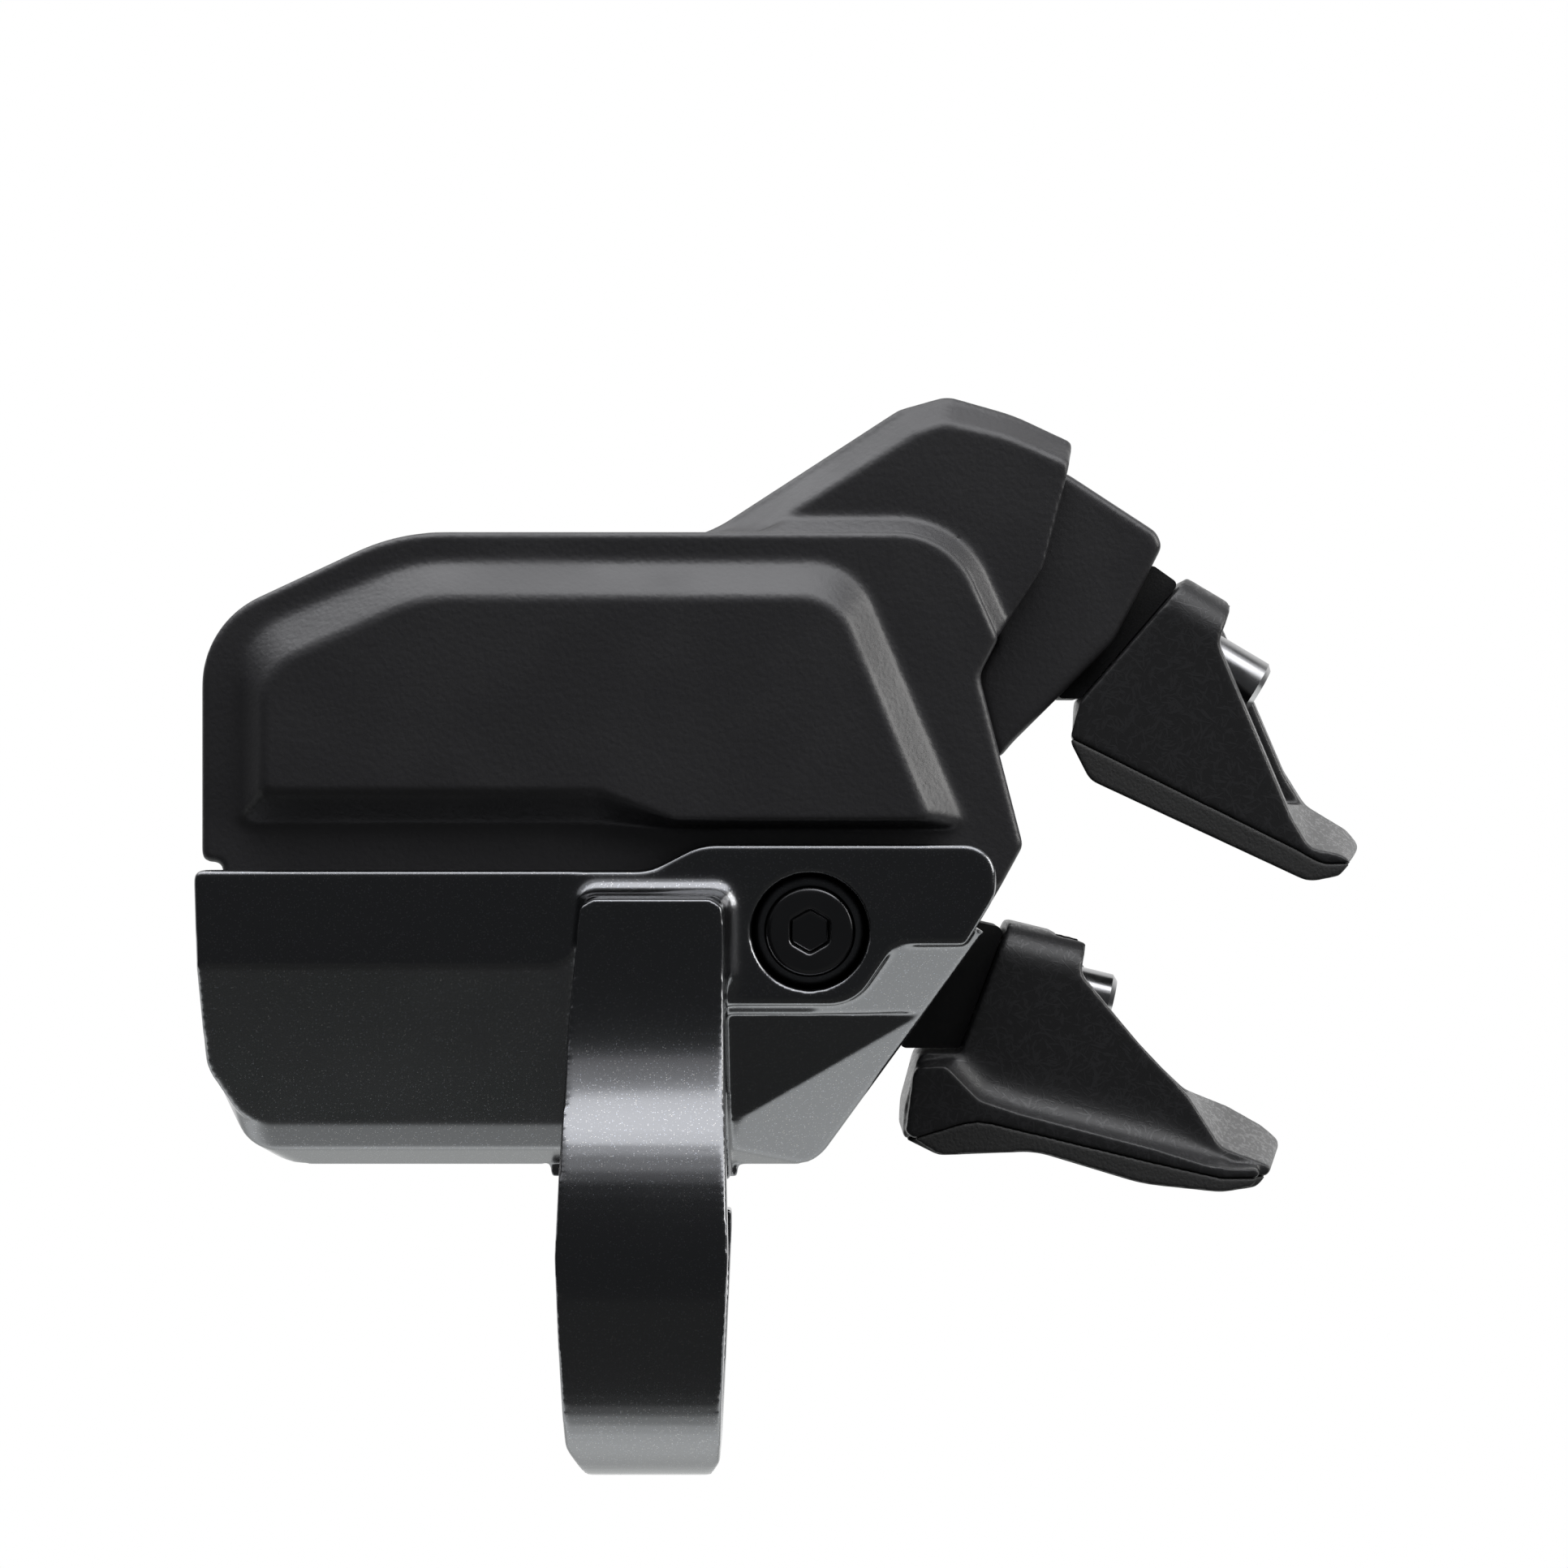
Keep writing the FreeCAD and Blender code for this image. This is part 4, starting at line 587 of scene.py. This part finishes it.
# %% [markdown]
# ## Soft edges
# No moulded or cast edge is sharp, and on black it is the rounded edge that catches the light. Each visible
# piece gets a copy with an even fine mesh, laid over the CAD surface like a net. A few passes of smoothing
# then pull the net in at every corner, as a polishing wheel does, and fill every inner corner a little.
# Flat faces stay flat. In the end a decimation takes the spare triangles out of them again, and normals
# weighted by the faces' areas keep the large faces from shading towards their edges.

# %% Roll over the edges of the visible pieces


def soft_copy(node, body, slot, mesh_mm, radius_mm, keep, add=None):
    """Copy of a CAD node with all edges rounded by about the radius; keep is the share of triangles left."""
    mesh = NODES[node].data.copy()
    mesh.name = node + "_soft"
    if add is not None:
        add(mesh)
    mesh.materials.clear()
    mesh.materials.append(FINISHES[slot])
    piece = bpy.data.objects.new(node + "_soft", mesh)
    bpy.context.scene.collection.objects.link(piece)
    net = piece.modifiers.new("even_net", "REMESH")
    net.mode = "VOXEL"
    net.voxel_size = mesh_mm * MM
    net.use_smooth_shade = True
    polish = piece.modifiers.new("polish", "SMOOTH")
    polish.factor = 0.5
    polish.iterations = max(2, round(2.6 * (radius_mm / mesh_mm) ** 2))
    spare = piece.modifiers.new("spare_triangles", "DECIMATE")
    spare.ratio = keep
    piece.modifiers.new("flat_faces", "WEIGHTED_NORMAL")
    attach(piece, body)
    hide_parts(node)
    shaped = piece.evaluated_get(bpy.context.evaluated_depsgraph_get()).data
    print("%-16s passes %2d, faces %6d" % (node, polish.iterations, len(shaped.polygons)))


# %% [markdown]
# ## The sweep of the neck
# On the real casting the neck does not meet the band in a crease: one long hollow curve runs from the ring
# up to the top of the neck, and its highlight fades upwards. A closed strip with that curve is added to the
# bracket's copy before the net is laid, and the net joins both to one skin.

# %% Neck sweep, in millimetres
RING_RADIUS = 14.0       # outside of the ring
RING_MIDDLE = 12.5       # inside the wall of the ring, clear of the bore
NECK_MIDDLE = -1.0       # depth inside the neck
SWEEP_RADIUS = 17.0
SWEEP_START_DEG = 40.0   # where the sweep leaves the ring, above its front
SWEEP_TOP = 22.8
SWEEP_CORNER = 0.8
SWEEP_STEPS = 28
# Height, left edge and right edge of the band
BAND_SIDES = ((1.0, -5.32, 5.33), (15.0, -4.75, 5.0), (22.9, -4.0, 4.95))


def band_sides(z):
    """Left and right edge of the band at a height."""
    for (z0, left0, right0), (z1, left1, right1) in zip(BAND_SIDES, BAND_SIDES[1:]):
        if z <= z1:
            share = (z - z0) / (z1 - z0)
            return left0 + (left1 - left0) * share, right0 + (right1 - right0) * share


def add_neck_sweep(mesh):
    """Adds a closed strip to the bracket's mesh: the sweep in front, the middle of the metal behind."""
    start = math.radians(SWEEP_START_DEG)
    reach = RING_RADIUS + SWEEP_RADIUS
    centre_y, centre_z = -reach * math.cos(start), reach * math.sin(start)
    z0 = RING_RADIUS * math.sin(start)
    body = bmesh.new()
    body.from_mesh(mesh)
    rings = []
    for k in range(SWEEP_STEPS + 1):
        z = z0 + (SWEEP_TOP - z0) * k / SWEEP_STEPS
        front = centre_y + math.sqrt(SWEEP_RADIUS ** 2 - min(0.0, z - centre_z) ** 2)
        left, right = band_sides(z)
        over = min(max(0.0, z - (SWEEP_TOP - SWEEP_CORNER)), SWEEP_CORNER)
        pull = SWEEP_CORNER - math.sqrt(SWEEP_CORNER ** 2 - over ** 2)
        back = min(NECK_MIDDLE, -math.sqrt(max(0.0, RING_MIDDLE ** 2 - z ** 2)))
        corners = ((left + pull, front), (right - pull, front), (right - pull, back), (left + pull, back))
        rings.append([body.verts.new((x * MM, y * MM, z * MM)) for x, y in corners])
    for low, high in zip(rings, rings[1:]):
        for i in range(4):
            body.faces.new((low[i], low[(i + 1) % 4], high[(i + 1) % 4], high[i]))
    body.faces.new(reversed(rings[0]))
    body.faces.new(rings[-1])
    body.to_mesh(mesh)
    body.free()
    print("neck sweep from z %.1f to %.1f mm" % (z0, SWEEP_TOP))


# %% [markdown]
# ## Laying the nets
# Small radii need a fine net. The casting and the shells get edges of about a third of a millimetre, the arm
# a softer one, and the small screw in the front a very fine net for its head and its socket.

# %% Soft copies
soft_copy("front_case", "switch_body", "case_plastic", mesh_mm=0.2, radius_mm=0.3, keep=0.25)
soft_copy("rear_case", "switch_body", "case_plastic", mesh_mm=0.2, radius_mm=0.35, keep=0.25)
soft_copy("paddle_arm", "switch_body", "case_plastic", mesh_mm=0.16, radius_mm=0.55, keep=0.5)
soft_copy("clamp_bracket", "switch_body", "cast_paint", 0.16, 0.35, 0.36, add=add_neck_sweep)
soft_copy("bracket_bolt", "switch_body", "black_steel", mesh_mm=0.07, radius_mm=0.35, keep=0.4)
for side in ("upper", "lower"):
    body = side + "_paddle_body"
    soft_copy(side + "_paddle", body, "paddle_plastic", mesh_mm=0.14, radius_mm=0.35, keep=0.6)
    soft_copy(side + "_pad", body, "pad_rubber", mesh_mm=0.14, radius_mm=0.25, keep=0.6)

# %% [markdown]
# ## Pieces that keep their CAD mesh
# Screws, pins, boots and everything inside stay as they are and only get their finish. The record names the
# material slot of each node, and the finish is found by that name.

# %% Finishes of the pieces that keep their CAD mesh
slots = {part["node"]: part["material_slot"] for part in frame["record"]["subparts"]}
for name, thing in NODES.items():
    thing.data.materials.clear()
    thing.data.materials.append(FINISHES[slots[name]])
print("dressed", len(NODES), "nodes")
